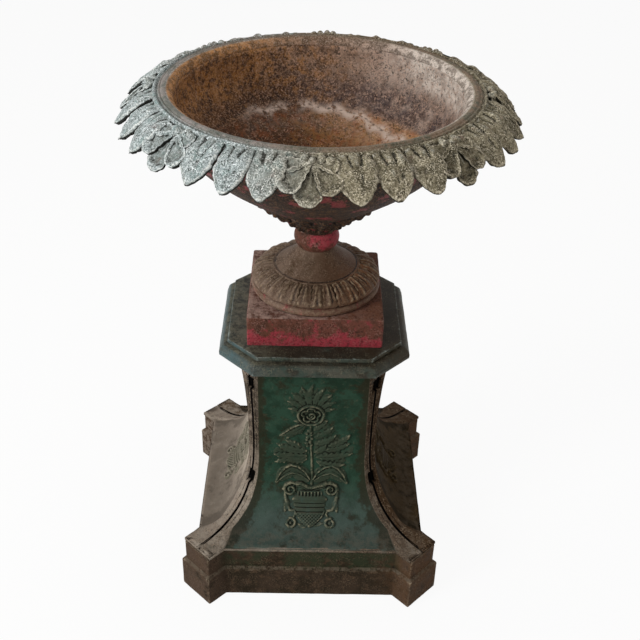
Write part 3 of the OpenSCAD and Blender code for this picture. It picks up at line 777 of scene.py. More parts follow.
def panel_paint(name, ground, deep, low, worn, dirt, strip, flower, lit):
    """Old paint on a panel, with wear and painted highlights on the ornament's crests, painted shade round
    it, and bare corner strips.
    """
    coat = Finish(name, ground, 0.6)
    relief, strips, proud = coat.mark("relief"), coat.mark("strip"), coat.mark("proud")
    coat.dab(deep, 38, 0.4, 0.6)
    coat.dab(low, 60, 0.2, 0.5, coat.z.step(0.23, 0.13) * 0.85, 0.55)
    stain = (coat.noise(30) + coat.mark("edge") * 0.24).step(0.5, 0.66)
    coat.lay(dirt, stain * 0.75, 0.75)
    coat.dab(worn, 12, 0.56, 0.7, coat.z.step(0.14, 0.3) * 0.25 + 0.08, 0.75)
    coat.dab(flower, 16, 0.28, 0.52, relief.step(0.1, 0.6) * 0.8)
    # Near black round the ornament: painted shade in its recesses.
    coat.lay("0d0f09", proud.step(-0.08, -0.5) * relief.most(0.3) * 0.95)
    crest = proud.step(0.3, 1.0) * (coat.z.step(0.38, 0.27) * 0.2 + 0.6)
    coat.dab(lit, 7, 0.42, 0.58, crest * relief)
    coat.dab("7b7060", 4, 0.65, 0.71, 0.6, 0.85)
    coat.dab(strip, 20, 0.2, 0.48, strips, 0.75)
    low_left = coat.z.step(0.3, 0.18) * coat.x.step(0.0, -0.1)
    coat.dab("938779", 16, 0.4, 0.58, strips * low_left * 0.85)
    coat.dab("292219", 22, 0.3, 0.54, strips * coat.z.step(0.16, 0.34) * 0.85)
    coat.dab("3f2d1e", 20, 0.36, 0.54, strips * coat.x.step(0.02, 0.1) * 0.7)
    coat.speckle(3, "17120c", "8f7d68", strips * coat.noise(15).step(0.4, 0.56) * 0.7)
    coat.dab("6f6254", 14, 0.4, 0.6, coat.up.step(0.7, 0.98) * 0.25, 0.9)
    # Near black on the seams, their flanges and the wall's inside: grime in the joints, and painted shade in
    # the gaps.
    coat.lay("040302", coat.mark("seam"), 0.9)
    coat.height(coat.noise(6), 1.0)
    coat.height(coat.noise(2), 0.15)
    return coat.done(specular=0.04)


def cap_paint(paints):
    """Grey green paint of the cap, brown where the rain lies, with painted light on its left and painted
    shade on its right.
    """
    coat = Finish("Dark green cap paint", paints.cap, 0.5)
    flat = coat.up.step(0.7, 0.97)
    coat.dab("48453b", 38, 0.4, 0.6, 0.8)
    coat.dab("231d14", 24, 0.48, 0.64, 0.8)
    coat.dab("251f16", 30, 0.28, 0.5, flat * 0.9, 0.7)
    # Paler on the top's left and teal on the left mouldings: painted light and painted sheen from the lamp on
    # the left.
    coat.dab("6e6a58", 15, 0.36, 0.6, coat.x.step(-0.04, -0.13) * flat * 0.85, 0.7)
    painted_left_sheen = coat.x.step(-0.05, -0.16) * (1.0 - flat * 0.8)
    coat.dab("455a5c", 26, 0.24, 0.6, painted_left_sheen * 0.85, 0.4)
    # Browner on the right: painted shade.
    coat.dab("33291a", 40, 0.25, 0.56, coat.x.step(0.04, 0.15) * 0.9, 0.6)
    coat.speckle(2.6, "17130d", "706a56", coat.noise(18).step(0.42, 0.6) * 0.6)
    coat.worn("0f0d09", "a4ada5", 0.7, 0.7, 0.9)
    coat.dab("75695a", 4, 0.64, 0.7, 0.55, 0.85)
    coat.height(coat.noise(7), 0.8)
    return coat.done(coat=0.06, specular=0.14)


def crimson_coats(paints, name, low_z, high_z, cover, bare_x=-1.0):
    """Crimson paint left in patches on brown iron, fullest at one end and gone left of a place."""
    coat = Finish(name, linear("583628"), 0.72)
    flat = coat.up.step(0.6, 0.95)
    coat.dab("653a30", 40, 0.4, 0.6, 0.75 - flat * 0.3)
    coat.dab("402a1e", 22, 0.46, 0.62, 0.8 - flat * 0.3)
    coat.dab("744a35", 20, 0.34, 0.56, flat * coat.x.step(-0.03, 0.08) * 0.8)
    coat.dab("ab8d7f", 15, 0.36, 0.58, flat * coat.x.step(0.12, -0.04) * 0.9)
    low = coat.z.step(high_z, low_z)
    patch = (coat.noise(26) + low * cover - flat * 0.12).step(0.54, 0.68)
    patch = patch * (coat.x + coat.noise(14) * 0.03 - 0.015).step(bare_x, bare_x + 0.008)
    coat.lay(paints.crimson, patch * 0.9, 0.5)
    coat.dab("451a1e", 5, 0.52, 0.62, patch * 0.75, 0.6)
    coat.dab("8e4043", 10, 0.46, 0.64, patch * 0.7, 0.5)
    coat.dab("9d7068", 9, 0.54, 0.66, 0.2, 0.7)
    coat.speckle(3, "1a0f0b", "86655a", coat.noise(24).step(0.42, 0.62) * 0.7)
    coat.dab("2c1a13", 7, 0.54, 0.66, 0.7)
    coat.worn("190f0b", "a58c7e", 0.8, 1.4, 0.35)
    coat.height(coat.noise(5), 1.8)
    return coat.done(specular=0.12)


def foot_iron(paints):
    """Brown iron of the round foot, paler on its left, with red on its ring."""
    coat = Finish("Brown foot iron", linear("4c3727"), 0.6)
    coat.dab("665040", 30, 0.44, 0.64, 0.55)
    coat.dab("37260f", 26, 0.46, 0.64, 0.55)
    coat.dab("68432a", 24, 0.32, 0.56, coat.x.step(0.0, 0.09) * 0.85)
    low = coat.z.step(0.5915, 0.5885)
    coat.dab("56392c", 18, 0.2, 0.44, low * 0.9)
    coat.lay(paints.crimson, coat.noise(20).step(0.54, 0.64) * low * 0.6)
    coat.worn("1b120c", "8d7960", 0.4, 0.6, (0.8 - low * 0.45) * coat.z.step(0.648, 0.642))
    left = coat.x.step(0.02, -0.09)
    coat.dab("836e5e", 22, 0.36, 0.62, left * 0.6, 0.9)
    coat.dab("a4907f", 4, 0.54, 0.64, left * 0.65, 0.9)
    coat.speckle(2.6, "22170e", "84705c", coat.noise(16).step(0.4, 0.6) * 0.5)
    coat.height(coat.noise(5), 1.0)
    return coat.done(specular=0.18)


def inner_rust(coat, orange):
    """Rust of the bowl's inside: orange on the left and pale on the right, partly dust and partly painted
    light on the wall that faces the lamp, with a painted sheen high on the right.
    """
    wall = (coat.z + coat.noise(25) * 0.02).step(0.828, 0.842)
    right = (coat.x + coat.y * 0.2 + coat.noise(60) * 0.12).step(0.1, 0.25)
    rust = coat.mix(coat.x.step(-0.18, -0.02), orange, "8a6c56")
    rust = coat.mix(right, rust, "b29c8c")
    # A near white sheen high on the right wall: a painted highlight.
    glow = (coat.x + coat.noise(30) * 0.1).step(0.16, 0.24) * coat.z.step(0.87, 0.9)
    rust = coat.mix(glow, rust, "d8cabc")
    floor = coat.mix(coat.x.step(-0.08, 0.14), "6b4a26", "a87c50")
    return coat.mix(wall, floor, rust), wall


def bowl_outside(coat):
    """Dark mottled iron of the bowl's outside, with crimson left in patches."""
    coat.dab("150d08", 14, 0.38, 0.58)
    coat.dab("5a3d22", 7, 0.5, 0.62, 0.7)
    patch = (coat.noise(34) + coat.z.step(0.80, 0.9) * 0.1).step(0.57, 0.63)
    coat.lay("7c292e", patch * 0.9, 0.5)
    coat.speckle(3, "0d0806", "84664c", coat.noise(12).step(0.36, 0.56) * 0.6)


def bowl_iron(paints):
    """Rust inside the bowl with a pale tide line, and mottled brown and crimson outside."""
    coat = Finish("Rusty bowl iron", linear("2b1a0f"), 0.7)
    bowl_outside(coat)
    inside, tide = coat.mark("inside"), coat.mark("tide")
    rust, wall = inner_rust(coat, paints.orange)
    coat.lay(rust, inside, 0.55)
    shade = inside * coat.x.step(-0.16, -0.02) * coat.z.step(0.9, 0.85) * wall
    coat.dab("362a2c", 40, 0.24, 0.54, shade * 0.95, 0.5)
    coat.dab("4c311d", 24, 0.42, 0.62, inside * 0.5, 0.5)
    warm = inside * coat.x.step(0.12, -0.08)
    coat.dab("a8723b", 18, 0.45, 0.6, warm * 0.8, 0.8)
    # Paler on the right wall: painted light where it faces the lamp.
    coat.dab("a88d7c", 9, 0.48, 0.64, inside * coat.x.step(-0.1, 0.15) * wall * 0.7, 0.8)
    # Darker low on the left wall: painted shade under the rim on the lamp's side.
    low_left = warm * coat.x.step(0.02, -0.08) * coat.z.step(0.885, 0.835)
    coat.dab("3c2413", 26, 0.24, 0.5, low_left * 0.85, 0.7)
    coat.dab("2a190d", 11, 0.47, 0.59, warm * wall * 0.85)
    floor = inside * (1.0 - wall)
    coat.dab("40260f", 16, 0.42, 0.64, floor * coat.x.step(0.1, -0.06) * 0.85)
    coat.dab("8a4a24", 14, 0.46, 0.62, floor * 0.6)
    # Rust grit, and pale specks on the left wall that stand in for glints: a painted highlight.
    grit = inside * coat.noise(26).step(0.36, 0.58) * coat.noise(7).step(0.34, 0.54)
    coat.speckle(3.2, "1c100a", "b5917a", grit.most(warm * wall * 0.8) * 0.9)
    coat.dab("170d08", 6, 0.55, 0.62, inside * 0.75)
    broken = coat.noise(9).step(0.38, 0.5) * coat.noise(90).step(0.34, 0.48)
    coat.lay("cbb5a5", tide * broken * coat.x.step(-0.15, -0.09) * 0.95, 0.9)
    # Near black in the hollows: painted shade.
    coat.lay("130c08", coat.mark("proud").step(-0.3, -1.2) * 0.9)
    coat.height(coat.noise(6, 0.78), 3.2)
    coat.height(coat.noise(2.6), 0.5)
    return coat.done(specular=0.2)


def patina(paints, name):
    """Pale crust over dark green iron, tinted cool on the left and warm on the right as painted light and
    painted shade.
    """
    coat = Finish(name, linear("3a3a31"), 0.8)
    inner, crest, hollow = coat.mark("inner"), coat.mark("crest"), coat.mark("hollow")
    # The side runs from left to right: the tints that follow it are painted cool light on the left and
    # painted warm shade on the right.
    side = (coat.x + coat.noise(80) * 0.1 - 0.05).step(-0.13, 0.03)
    back = coat.y.step(0.02, 0.24)
    coat.lay(coat.mix(side, "68716c", "4a4030"), 1.0)
    pale = coat.mix(back * 0.95, coat.mix(side, paints.patina, "897f67"), "5e452c")
    coat.lay(pale, (coat.noise(9) + coat.mark("tone") * 0.06).step(0.36, 0.56), 0.85)
    coat.dab("47402f", 26, 0.44, 0.6, side * 0.65 + 0.15)
    coat.dab("75524c", 17, 0.58, 0.66, 0.35)
    coat.dab("7c9590", 20, 0.52, 0.62, (1.0 - side) * 0.5)
    coat.lay("4b4636", hollow * coat.noise(12).step(0.3, 0.6) * 0.6)
    coat.worn("201f18", "b9b8ad", 1.2, 2.2, 0.45)
    crusty = coat.noise(12).step(0.3, 0.56) * (1.0 - hollow * 0.7)
    coat.speckle(2.3, "22221b", coat.mix(side, "f2f5f2", "ebdfc6"), crusty * (1.0 - side * 0.15))
    # A thin pale band along the leaves' edges: a painted highlight, brightest on the left.
    border = coat.mark("border") * (0.95 - side * 0.3)
    coat.dab(coat.mix(side, "e2e2db", "d6cab2"), 4, 0.45, 0.54, border)
    # Near black on the leaves' edge sides and undersides: painted shade.
    coat.lay("17150f", coat.mark("side") * 0.95)
    band = coat.mix(side, "8a8079", "755f4c")
    band = coat.mix(coat.noise(30).step(0.45, 0.58) * 0.8, band, "444a3d")
    coat.lay(coat.mix(back * 0.75, band, "574433"), crest * 0.85, 0.6)
    rust, _ = inner_rust(coat, paints.orange)
    coat.lay(rust, inner, 0.6)
    coat.dab("41301f", 14, 0.42, 0.56, inner * 0.7)
    coat.speckle(2.6, "1c140f", "a59486", (inner + crest * 0.6) * 0.6)
    coat.height(coat.noise(3.0, 0.78), 1.6)
    return coat.done(specular=0.1)


def fastener_iron():
    """Plain dark iron of the bolts, nuts, rod and washers, with rust in its pores."""
    coat = Finish("Plain fastener iron", linear("3a332e"), 0.55)
    coat.dab("5a3b28", 6, 0.5, 0.64, 1.0, 0.8)
    coat.dab("1b1613", 2.5, 0.54, 0.66)
    coat.height(coat.noise(2), 0.2)
    return coat.done(metal=0.35)


# Shapes of the pedestal.


def plinth_plan(inset):
    """Corners of the plinth's plan: a square with a block on each diagonal."""
    half, block, reach = PLINTH_HALF - inset, BLOCK_HALF - inset, BLOCK_REACH - inset
    notch = half - math.sqrt(2) * block
    near, far = (reach - block) / math.sqrt(2), (reach + block) / math.sqrt(2)
    return four_corners(np.array([[notch, -half], [near, -far], [far, -near], [half, -notch]]))


def base_shell(soft):
    """The base frame: plinth, ledge and fascia with their hollow and the hole in the seat."""

    def plan(inset):
        return eased(plinth_plan(inset), 2.5, 9.0, plinth_plan(0))

    hole = to_square(plan(FASCIA_IN), SEAT_HOLE_HALF)
    inner = FASCIA_IN + PLINTH_WALL
    under = SEAT_Z - 8
    rows = (
        (plan(0), 0, 1.2), (plan(0), PLINTH_TOP, soft),
        (plan(FASCIA_IN), PLINTH_TOP + 5, 1.5), (plan(FASCIA_IN), SEAT_Z, 0.6),
        (hole, SEAT_Z, 0), (hole, under, 0), (plan(inner), under, 0), (plan(inner), PLINTH_TOP + 0.5, 0),
        (plan(PLINTH_WALL), PLINTH_TOP - 4.5, 0), (plan(PLINTH_WALL), 0, 0),
    )
    return stacked(rows, 9.0)


def swept_half(z, waist, spread, flare, power):
    """Distance from the axis up a panel: a rounded sweep below the waist and a slow flare above it."""
    z = np.asarray(z, float)
    low = np.clip((WAIST_Z - z) / SWEEP_RISE, 0, 1) ** (power / 2)
    below = waist + spread * (1 - np.sqrt(np.clip(1 - low * low, 0, 1)) ** (2 / power))
    above = waist + flare * (np.clip(z - WAIST_Z, 0, None) / (CAP_Z - WAIST_Z)) ** 2
    return np.where(z >= WAIST_Z, above, below)


def face_half(z):
    """Distance of a panel's face from the axis at a height."""
    return swept_half(z, PANEL_WAIST, 95, 16, 2.1)


def strip_half(z):
    """Distance of a corner strip from the axis at a height."""
    return swept_half(z, STRIP_WAIST, 145.3, 11.1, 2.4)


def toe_half(z):
    """Half width of a corner strip's toe above its block."""
    rise = np.clip(1 - (np.asarray(z, float) - SLAB_TOP) / TOE_RISE, 0, 1)
    wide = TOE_LEAST + TOE_SPREAD * (1 - np.sqrt(np.clip(1 - rise * rise, 0, 1)))
    return np.where(rise > 0, wide, 0)


def face_levels(step):
    """Heights up a panel, an even step apart along its sweep, and the length along it."""
    z = np.linspace(SLAB_TOP, CAP_Z, 3000)
    y = face_half(z)
    way = np.concatenate([[0], np.cumsum(np.hypot(np.diff(z), np.diff(y)))])
    way += MAP_LEVEL - np.interp(MAP_LEVEL, z, way)
    even = np.linspace(way[0], way[-1], int((way[-1] - way[0]) / step))
    return np.interp(even, way, z), even


def diagonal(along, across):
    """A point near the right corner, along its diagonal and across it towards the middle."""
    return np.stack([(along - across) / math.sqrt(2), -(along + across) / math.sqrt(2)], -1)


def mirrored(rows):
    """Rows of points from their mirror image on the left to themselves on the right."""
    left = rows[:, :0:-1].copy()
    left[..., 0] *= -1
    return np.concatenate([left, rows], 1)


def wall_outside(levels, t):
    """Right half of the wall's outside at each level, how far across its strip is and how deep sunk."""
    face, strip = face_half(levels), strip_half(levels)
    natural = math.sqrt(2) * face - strip
    wide = np.maximum(toe_half(levels), natural)
    corner = np.where(toe_half(levels) > natural, face - math.sqrt(2) * wide, math.sqrt(2) * strip - face)
    face_part = np.stack([t[None] * corner[:, None], np.repeat(-face[:, None], len(t), 1)], -1)
    inner_edge, outer_edge = np.stack([corner, -face], -1), diagonal(strip, wide)
    side = np.stack([inner_edge + (outer_edge - inner_edge) * s for s in (0.35, 0.7)], 1)
    across = SEAM_HALF + (wide[:, None] - SEAM_HALF) * np.array([0.985, 0.8, 0.6, 0.4])
    near_seam = [NOTCH_HALF + 0.2, NOTCH_HALF - 0.2, 2.8, 2.4, SEAM_HALF]
    across = np.concatenate([across, np.tile(near_seam, (len(levels), 1))], 1)
    across = np.minimum(across, (wide * 0.985)[:, None])
    at_notch = np.abs(levels[:, None] - np.array(NOTCH_HEIGHTS)).min(1) < 12.5
    sunk = np.where(at_notch[:, None] & (across < NOTCH_HALF), NOTCH_DEEP, 0.0)
    return np.concatenate([face_part, side, diagonal(strip[:, None] - sunk, across)], 1), across, sunk


def wall_inside(levels, right, across):
    """The points of the wall's right half moved to its inner side."""
    face, along = face_half(levels) - PANEL_WALL, strip_half(levels) - PANEL_WALL
    inside = right.copy()
    inside[..., 0] = np.minimum(right[..., 0], (math.sqrt(2) * along - face)[:, None])
    inside[..., 1] = -face[:, None]
    share = np.minimum(across, (math.sqrt(2) * face - along)[:, None])
    inside[:, -across.shape[1] :] = diagonal(along[:, None], share)
    return inside


def wall_marks(t, sunk):
    """Marks round the wall: its bare strips, the paint's edge beside them and the dark seams."""
    rows, strips = sunk.shape
    place = np.arange(len(t) + 2 + strips)
    strip = np.tile(place >= len(t), (rows, 1))
    edge = np.tile(np.concatenate([smooth(t, 0.78, 1.0), np.zeros(2 + strips)]), (rows, 1))
    seam = np.tile(place >= len(place) - 2, (rows, 1))
    seam[:, len(t) + 2 :] |= sunk > 0
    strip, edge, seam = [
        np.concatenate([mark[:, :0:-1], mark], 1).astype(float) for mark in (strip, edge, seam)
    ]
    # The wall's inside is marked as seam too, painted near black as the shade seen through the gaps.
    dark = np.ones_like(seam)
    seam[0], dark[0] = 0.0, 0.0
    sides = {"strip": (strip, strip), "edge": (edge, edge), "seam": (seam, dark)}
    return {
        name: np.concatenate([outer, inner[:, ::-1]], 1).ravel() for name, (outer, inner) in sides.items()
    }


def panel_wall(step):
    """The swept wall of the front panel with its two half strips, and its marks."""
    levels, _ = face_levels(step)
    notch_edges = [z + side for z in NOTCH_HEIGHTS for side in (-11.8, -11.2, 11.2, 11.8)]
    levels = np.unique(np.concatenate([levels, notch_edges]))
    t = np.append(np.linspace(0, 1, 22)[:-1], 1 - 0.012)
    right, across, sunk = wall_outside(levels, t)
    outer, inner = mirrored(right), mirrored(wall_inside(levels, right, across))
    loops = np.concatenate([outer, inner[:, ::-1]], 1)
    rows, columns = loops.shape[:2]
    points = np.concatenate([loops, np.repeat(levels[:, None], columns, 1)[..., None]], -1)
    j = np.arange(outer.shape[1] - 1)
    low = np.stack([j + 1, j, columns - 1 - j, columns - 2 - j], 1)
    high = (low + (rows - 1) * columns)[:, ::-1]
    quads = np.concatenate([grid_faces(rows, columns, False, True), low, high])
    return (points.reshape(-1, 3), quads, NO_TRIS), wall_marks(t, sunk)


def both_halves(right):
    """A row of plan points from its mirror image on the left to itself on the right."""
    return np.concatenate([right[::-1] * [-1, 1], right])


def ribbon(outer, inner, low, high, soft):
    """A flat plate between two rows of plan points, with an eased outer top edge."""
    outer, inner = both_halves(outer), both_halves(inner)
    way = inner - outer
    way /= np.linalg.norm(way, axis=1)[:, None]
    rows = (
        (outer, low), (outer, high - soft), (outer + way * soft * 0.3, high - soft * 0.3),
        (outer + way * soft, high), (inner, high), (inner, low),
    )
    return loft(np.stack([at_height(plan, z) for plan, z in rows], 1))


def foot_slab():
    """The slab under a panel's foot, out to the toes of its strips."""
    ends = diagonal(np.array([298.0, 298.0]), np.array([36.6, SEAM_HALF]))
    outer = np.concatenate([[[0.01, -212.0], [80.0, -212.0], [160.2, -212.0]], ends])
    inner = np.array([[x, -SEAT_HOLE_HALF] for x in (0.01, 40.0, 82.0, 100.0, 108.3)])
    return ribbon(outer, inner, SEAT_Z, SLAB_TOP, 1.6)


def head_flange():
    """The flange along a panel's head, under the cap."""
    face, strip = float(face_half(CAP_Z)), float(strip_half(CAP_Z))
    corner = math.sqrt(2) * strip - face
    end = diagonal(np.array([strip - 3]), np.array([SEAM_HALF]))
    outer = np.concatenate([[[0.01, -face + 3], [corner - 2, -face + 3]], end])
    inner = np.array([[x, -92.0] for x in (0.01, 70.0, 90.8)])
    return ribbon(outer, inner, CAP_Z - PANEL_WALL, CAP_Z, 0.5)


def on_seam(line, across, side):
    """Points of a line of along and height, set a way across the seam on the right or the left."""
    plan = diagonal(line[:, 0], np.full(len(line), across))
    return np.column_stack([plan * [side, 1], line[:, 1]])


def seam_flange(side):
    """The flange inside a seam, from under the strip inwards."""
    levels = np.linspace(SLAB_TOP, CAP_Z - 0.5, 60)
    strip = np.column_stack([strip_half(levels), levels])
    under = moved_in(strip, PANEL_WALL - 1.0)
    under[:, 1] = np.clip(under[:, 1], SEAT_Z + 0.5, CAP_Z - 0.5)
    back = strip - np.array([35.0, 0.0])
    corners = ((under, SEAM_HALF), (back, SEAM_HALF), (back, FLANGE_BACK), (under, FLANGE_BACK))
    return loft(np.stack([on_seam(line, across, side) for line, across in corners], 1))


def notch_boss(side, z):
    """The round boss behind a notch of the seam, for the corner bolt."""
    ring = circle(20, 11.5) + [strip_half(z) - 21, z]
    return loft(np.array([on_seam(ring, across, side) for across in (SEAM_HALF, FLANGE_BACK)]))


def panel_plates():
    """The slab under a panel, its top flange, seam flanges and bolt bosses."""
    made = [foot_slab(), head_flange()]
    for side in (1, -1):
        made += [seam_flange(side), *[notch_boss(side, z) for z in NOTCH_HEIGHTS]]
    return made


class Relief:
    """A map of heights over a panel's face that leaves, rolls and bosses are pressed into."""

    def __init__(self, across, up):
        self.across = across
        self.up = up
        self.height = np.zeros((len(up), len(across)))

    def window(self, low, high):
        """The part of the map between two corners, with its places across and up."""
        columns = slice(*np.searchsorted(self.across, (low[0], high[0])))
        rows = slice(*np.searchsorted(self.up, (low[1], high[1])))
        x, up = np.meshgrid(self.across[columns], self.up[rows])
        return (rows, columns), x, up

    def round_window(self, middle, half_x, half_up):
        """The window round an ellipse, with how far each point is towards its edge, squared."""
        low, high = (middle[0] - half_x, middle[1] - half_up), (middle[0] + half_x, middle[1] + half_up)
        area, x, up = self.window(low, high)
        return area, x, up, ((x - middle[0]) / half_x) ** 2 + ((up - middle[1]) / half_up) ** 2

    def press(self, area, height):
        """Raises the map to a height where it is lower."""
        self.height[area] = np.maximum(self.height[area], height)

    def roll(self, line, half, height):
        """A rounded roll along a line, its half width from one end to the other."""
        line, half = np.asarray(line, float), np.atleast_1d(half)
        halves = np.interp(np.linspace(0, 1, len(line)), np.linspace(0, 1, len(half)), half)
        for k in range(len(line) - 1):
            a, b = line[k], line[k + 1]
            wide = max(halves[k], halves[k + 1])
            area, x, up = self.window(np.minimum(a, b) - wide, np.maximum(a, b) + wide)
            way = b - a
            t = np.clip(((x - a[0]) * way[0] + (up - a[1]) * way[1]) / max(way @ way, 1e-9), 0, 1)
            gap = np.hypot(x - a[0] - t * way[0], up - a[1] - t * way[1])
            local = halves[k] + (halves[k + 1] - halves[k]) * t
            self.press(area, height * np.sqrt(np.clip(1 - (gap / local) ** 2, 0, None)))

    def boss(self, middle, half_x, half_up, height, power=0.5):
        """A rounded boss."""
        area, _, _, out = self.round_window(middle, half_x, half_up)
        self.press(area, height * np.clip(1 - out, 0, None) ** power)

    def sink(self, middle, half_x, half_up, depth):
        """A soft hollow in what is already there."""
        area, _, _, out = self.round_window(middle, half_x, half_up)
        here = self.height[area]
        lowered = np.maximum(here - depth * np.clip(1 - out, 0, None), 0.2)
        self.height[area] = np.where(here > 0.2, lowered, here)

    def tuft(self, root, middle, half_x, half_up, height, count):
        """Small leaves that spread from a root over an ellipse."""
        area, x, up, out = self.round_window(middle, half_x, half_up)
        turn = np.arctan2(x - root[0], up - root[1])
        reach = np.hypot(x - root[0], up - root[1])
        blades = np.abs(np.sin(turn * count + 0.8 * np.sin(reach * 0.16)))
        steps = 0.65 + 0.35 * np.sin(reach * 0.55 + 2.0 * np.sin(turn * count * 0.5))
        ragged = out + 0.35 * (1 - blades)
        self.press(area, height * np.clip(1 - ragged, 0, None) ** 0.35 * (0.35 + 0.65 * blades * steps))

    def leaf(self, root, tip, half, height, bend=0.0, teeth=0, veins=0.3):
        """A leaf from its root to its tip, with a sunk rib and a toothed edge."""
        root, tip = np.asarray(root, float), np.asarray(tip, float)
        size = float(np.linalg.norm(tip - root))
        way = (tip - root) / size
        reach = half + abs(bend) * size
        area, x, up = self.window(np.minimum(root, tip) - reach, np.maximum(root, tip) + reach)
        u = ((x - root[0]) * way[0] + (up - root[1]) * way[1]) / size
        v = (up - root[1]) * way[0] - (x - root[0]) * way[1]
        v = v - bend * size * 4 * u * (1 - u)
        inside = np.clip(u, 0, 1)
        wide = half * np.sin(math.pi * inside**0.8) ** 0.75
        if teeth:
            wide = wide * (1 - 0.3 * np.abs(np.sin(math.pi * teeth * inside)))
        wide = np.maximum(wide, 0.01)
        body = np.clip(1 - (v / wide) ** 2, 0, None) ** 0.35 * ((u > 0) & (u < 1))
        rib = 0.35 * bell(v, 0, 1.1) * (1 - inside)
        lines = veins * (0.5 + 0.5 * np.cos(2 * math.pi * (inside * size / 8.0 - np.abs(v) / 7.0)))
        self.press(area, height * body * (1 - rib) * (1 - 0.5 * lines * np.clip(np.abs(v) / wide, 0, 1)))


def spiral(middle, start, end, turns, first_angle):
    """Points of a spiral from one radius to another."""
    t = np.linspace(0, 1, 28)
    a = math.radians(first_angle) + t * turns * 2 * math.pi
    r = start + (end - start) * t
    return np.column_stack([middle[0] + r * np.cos(a), middle[1] + r * np.sin(a)])


def on_side(side, line):
    """A line of the ornament's right half, kept or mirrored to the left."""
    return [(side * x, up) for x, up in line]


def press_vase_body(relief):
    """The vase's body with its bands, fluted neck and pebbled bottom."""
    area, x, up = relief.window((-36, 119), (34, 197))
    middle = -2.5
    levels = [120, 123, 130, 138, 146, 155, 164, 170, 173, 178, 183, 190, 196]
    half = np.interp(up, levels, [2, 9, 17, 23, 27, 29.5, 31, 31.5, 34, 32, 26, 25, 30])
    round_off = np.clip(1 - ((x - middle) / half) ** 2, 0, None)
    body = 6.5 * round_off**0.5
    for level, deep in ((149.5, 2.2), (158.5, 2.2), (166.5, 1.6)):
        body = body - deep * bell(up, level, 1.1) * (round_off > 0)
    body = body + 1.2 * bell(up, 175.5, 2.8) * (round_off > 0.02)
    neck = smooth(up, 180, 182) * (1 - smooth(up, 189, 191))
    body = body - neck * (1.6 + 1.2 * np.cos((x - middle) * 2 * math.pi / 6.4))
    body = body - smooth(up, 189, 192) * 3.8 * (round_off > 0)
    pebbles = 1.0 * np.cos(x * 0.95) * np.cos(up * 0.95) * (1 - smooth(up, 143, 149))
    body = body + pebbles * (round_off > 0.1)
    relief.press(area, np.clip(body, 0, None) * (round_off > 0))


def press_handle(relief, side):
    """The scroll, arm, leaves and curled foot on one side of the vase."""
    centre = (side * 38 - 1.0, 194.0)
    relief.boss(centre, 14.0, 14.5, 2.6, 0.3)
    relief.tuft(centre, centre, 13.5, 14.5, 4.6, 6)
    relief.roll(spiral(centre, 12.5, 3.0, -side * 1.35, 90), [3.2, 2.6, 1.8], 5.6)
    over = ((27, 206), (38, 208.5), (47, 204), (51, 195))
    relief.roll([(side * x - 1, up) for x, up in over], 3.2, 5.6)
    arm = ((49, 190), (48.5, 180), (46, 170), (45, 162), (40, 153), (34, 152))
    relief.roll(on_side(side, arm), [3.0, 4.4, 3.0], 4.6)
    relief.leaf((side * 43, 172), (side * 49.5, 148), 6.0, 3.6, veins=0.6)
    foot = (side * 37 - 1.0, 128.0)
    relief.roll(spiral(foot, 9.4, 6.4, side * 0.9, 90 - side * 10), [3.4, 2.8], 5.6)
    relief.boss(foot, 3.4, 3.4, 4.4)
    relief.roll(on_side(side, ((31, 152), (29, 145), (33, 138), (38, 136.5))), 2.6, 4.0)
    relief.leaf((side * 6, 122), (side * 25, 127), 4.5, 3.0, bend=0.12)


def press_vase(relief):
    """The vase with its wavy lip, scroll handles, bands and curled feet."""
    press_vase_body(relief)
    bottom = ((-31, 153), (-24, 139), (-12, 128), (-1.5, 121), (9, 128), (20, 139), (26, 152))
    relief.roll(bottom, 1.5, 4.6)
    lip = (
        (-27, 206), (-20, 206.5), (-13, 203), (-6, 198.5), (1, 197.5),
        (8, 199.5), (15, 202), (22, 204), (27, 207),
    )
    relief.roll(lip, [4.6, 4.0, 4.6], 6.6)
    relief.roll([(x, up - 6) for x, up in lip], 2.0, 3.6)
    for side in (-1, 1):
        press_handle(relief, side)


def press_side_leaves(relief, side):
    """The two broad leaves that hang over a side of the vase, with their rolled edges."""
    relief.leaf((side * 2, 212), (side * 44, 240), 16, 3.4, bend=side * 0.05, veins=0.5)
    relief.leaf((side * 28, 237), (side * 66, 208), 15, 3.4, bend=side * 0.12, veins=0.5)
    crest = ((3, 216), (12, 232), (25, 243), (38, 247), (50, 240), (60, 226), (67, 209))
    relief.roll(on_side(side, crest), [1.8, 3.2, 3.4, 1.8], 5.2)
    fold = ((5, 213), (20, 225), (36, 230), (52, 222), (66, 208))
    relief.roll(on_side(side, fold), [1.4, 2.6, 1.6], 4.6)


# Root, tip, half width, height, bend and teeth of the leaves on the rose's stem.
STEM_LEAVES = (
    ((-8, 262), (-52, 262), 11, 3.8, 0.12, 5), ((-8, 268), (-72, 272), 13, 4.2, 0.06, 6),
    ((-8, 280), (-66, 297), 12, 4.0, 0.10, 6), ((-36, 262), (-70, 252), 8, 3.4, 0.0, 4),
    ((-20, 288), (-50, 306), 8, 3.4, 0.0, 4), ((8, 256), (62, 250), 11, 3.8, -0.12, 6),
    ((8, 266), (76, 276), 12, 4.1, -0.06, 7), ((22, 282), (70, 301), 10, 3.9, -0.08, 6),
    ((30, 292), (70, 322), 9, 3.7, -0.10, 6), ((4, 296), (44, 320), 9, 3.6, -0.10, 4),
    ((4, 312), (38, 340), 8.5, 3.6, -0.08, 4), ((4, 276), (26, 298), 7, 3.8, -0.15, 0),
    ((2, 330), (26, 350), 7, 3.4, 0.0, 3), ((-12, 346), (-60, 317), 13, 4.6, 0.10, 3),
    ((-18, 340), (-48, 308), 8, 4.0, -0.05, 0), ((-12, 350), (-34, 352), 6, 3.4, 0.0, 0),
    ((8, 350), (28, 354), 6, 3.2, 0.0, 0),
)

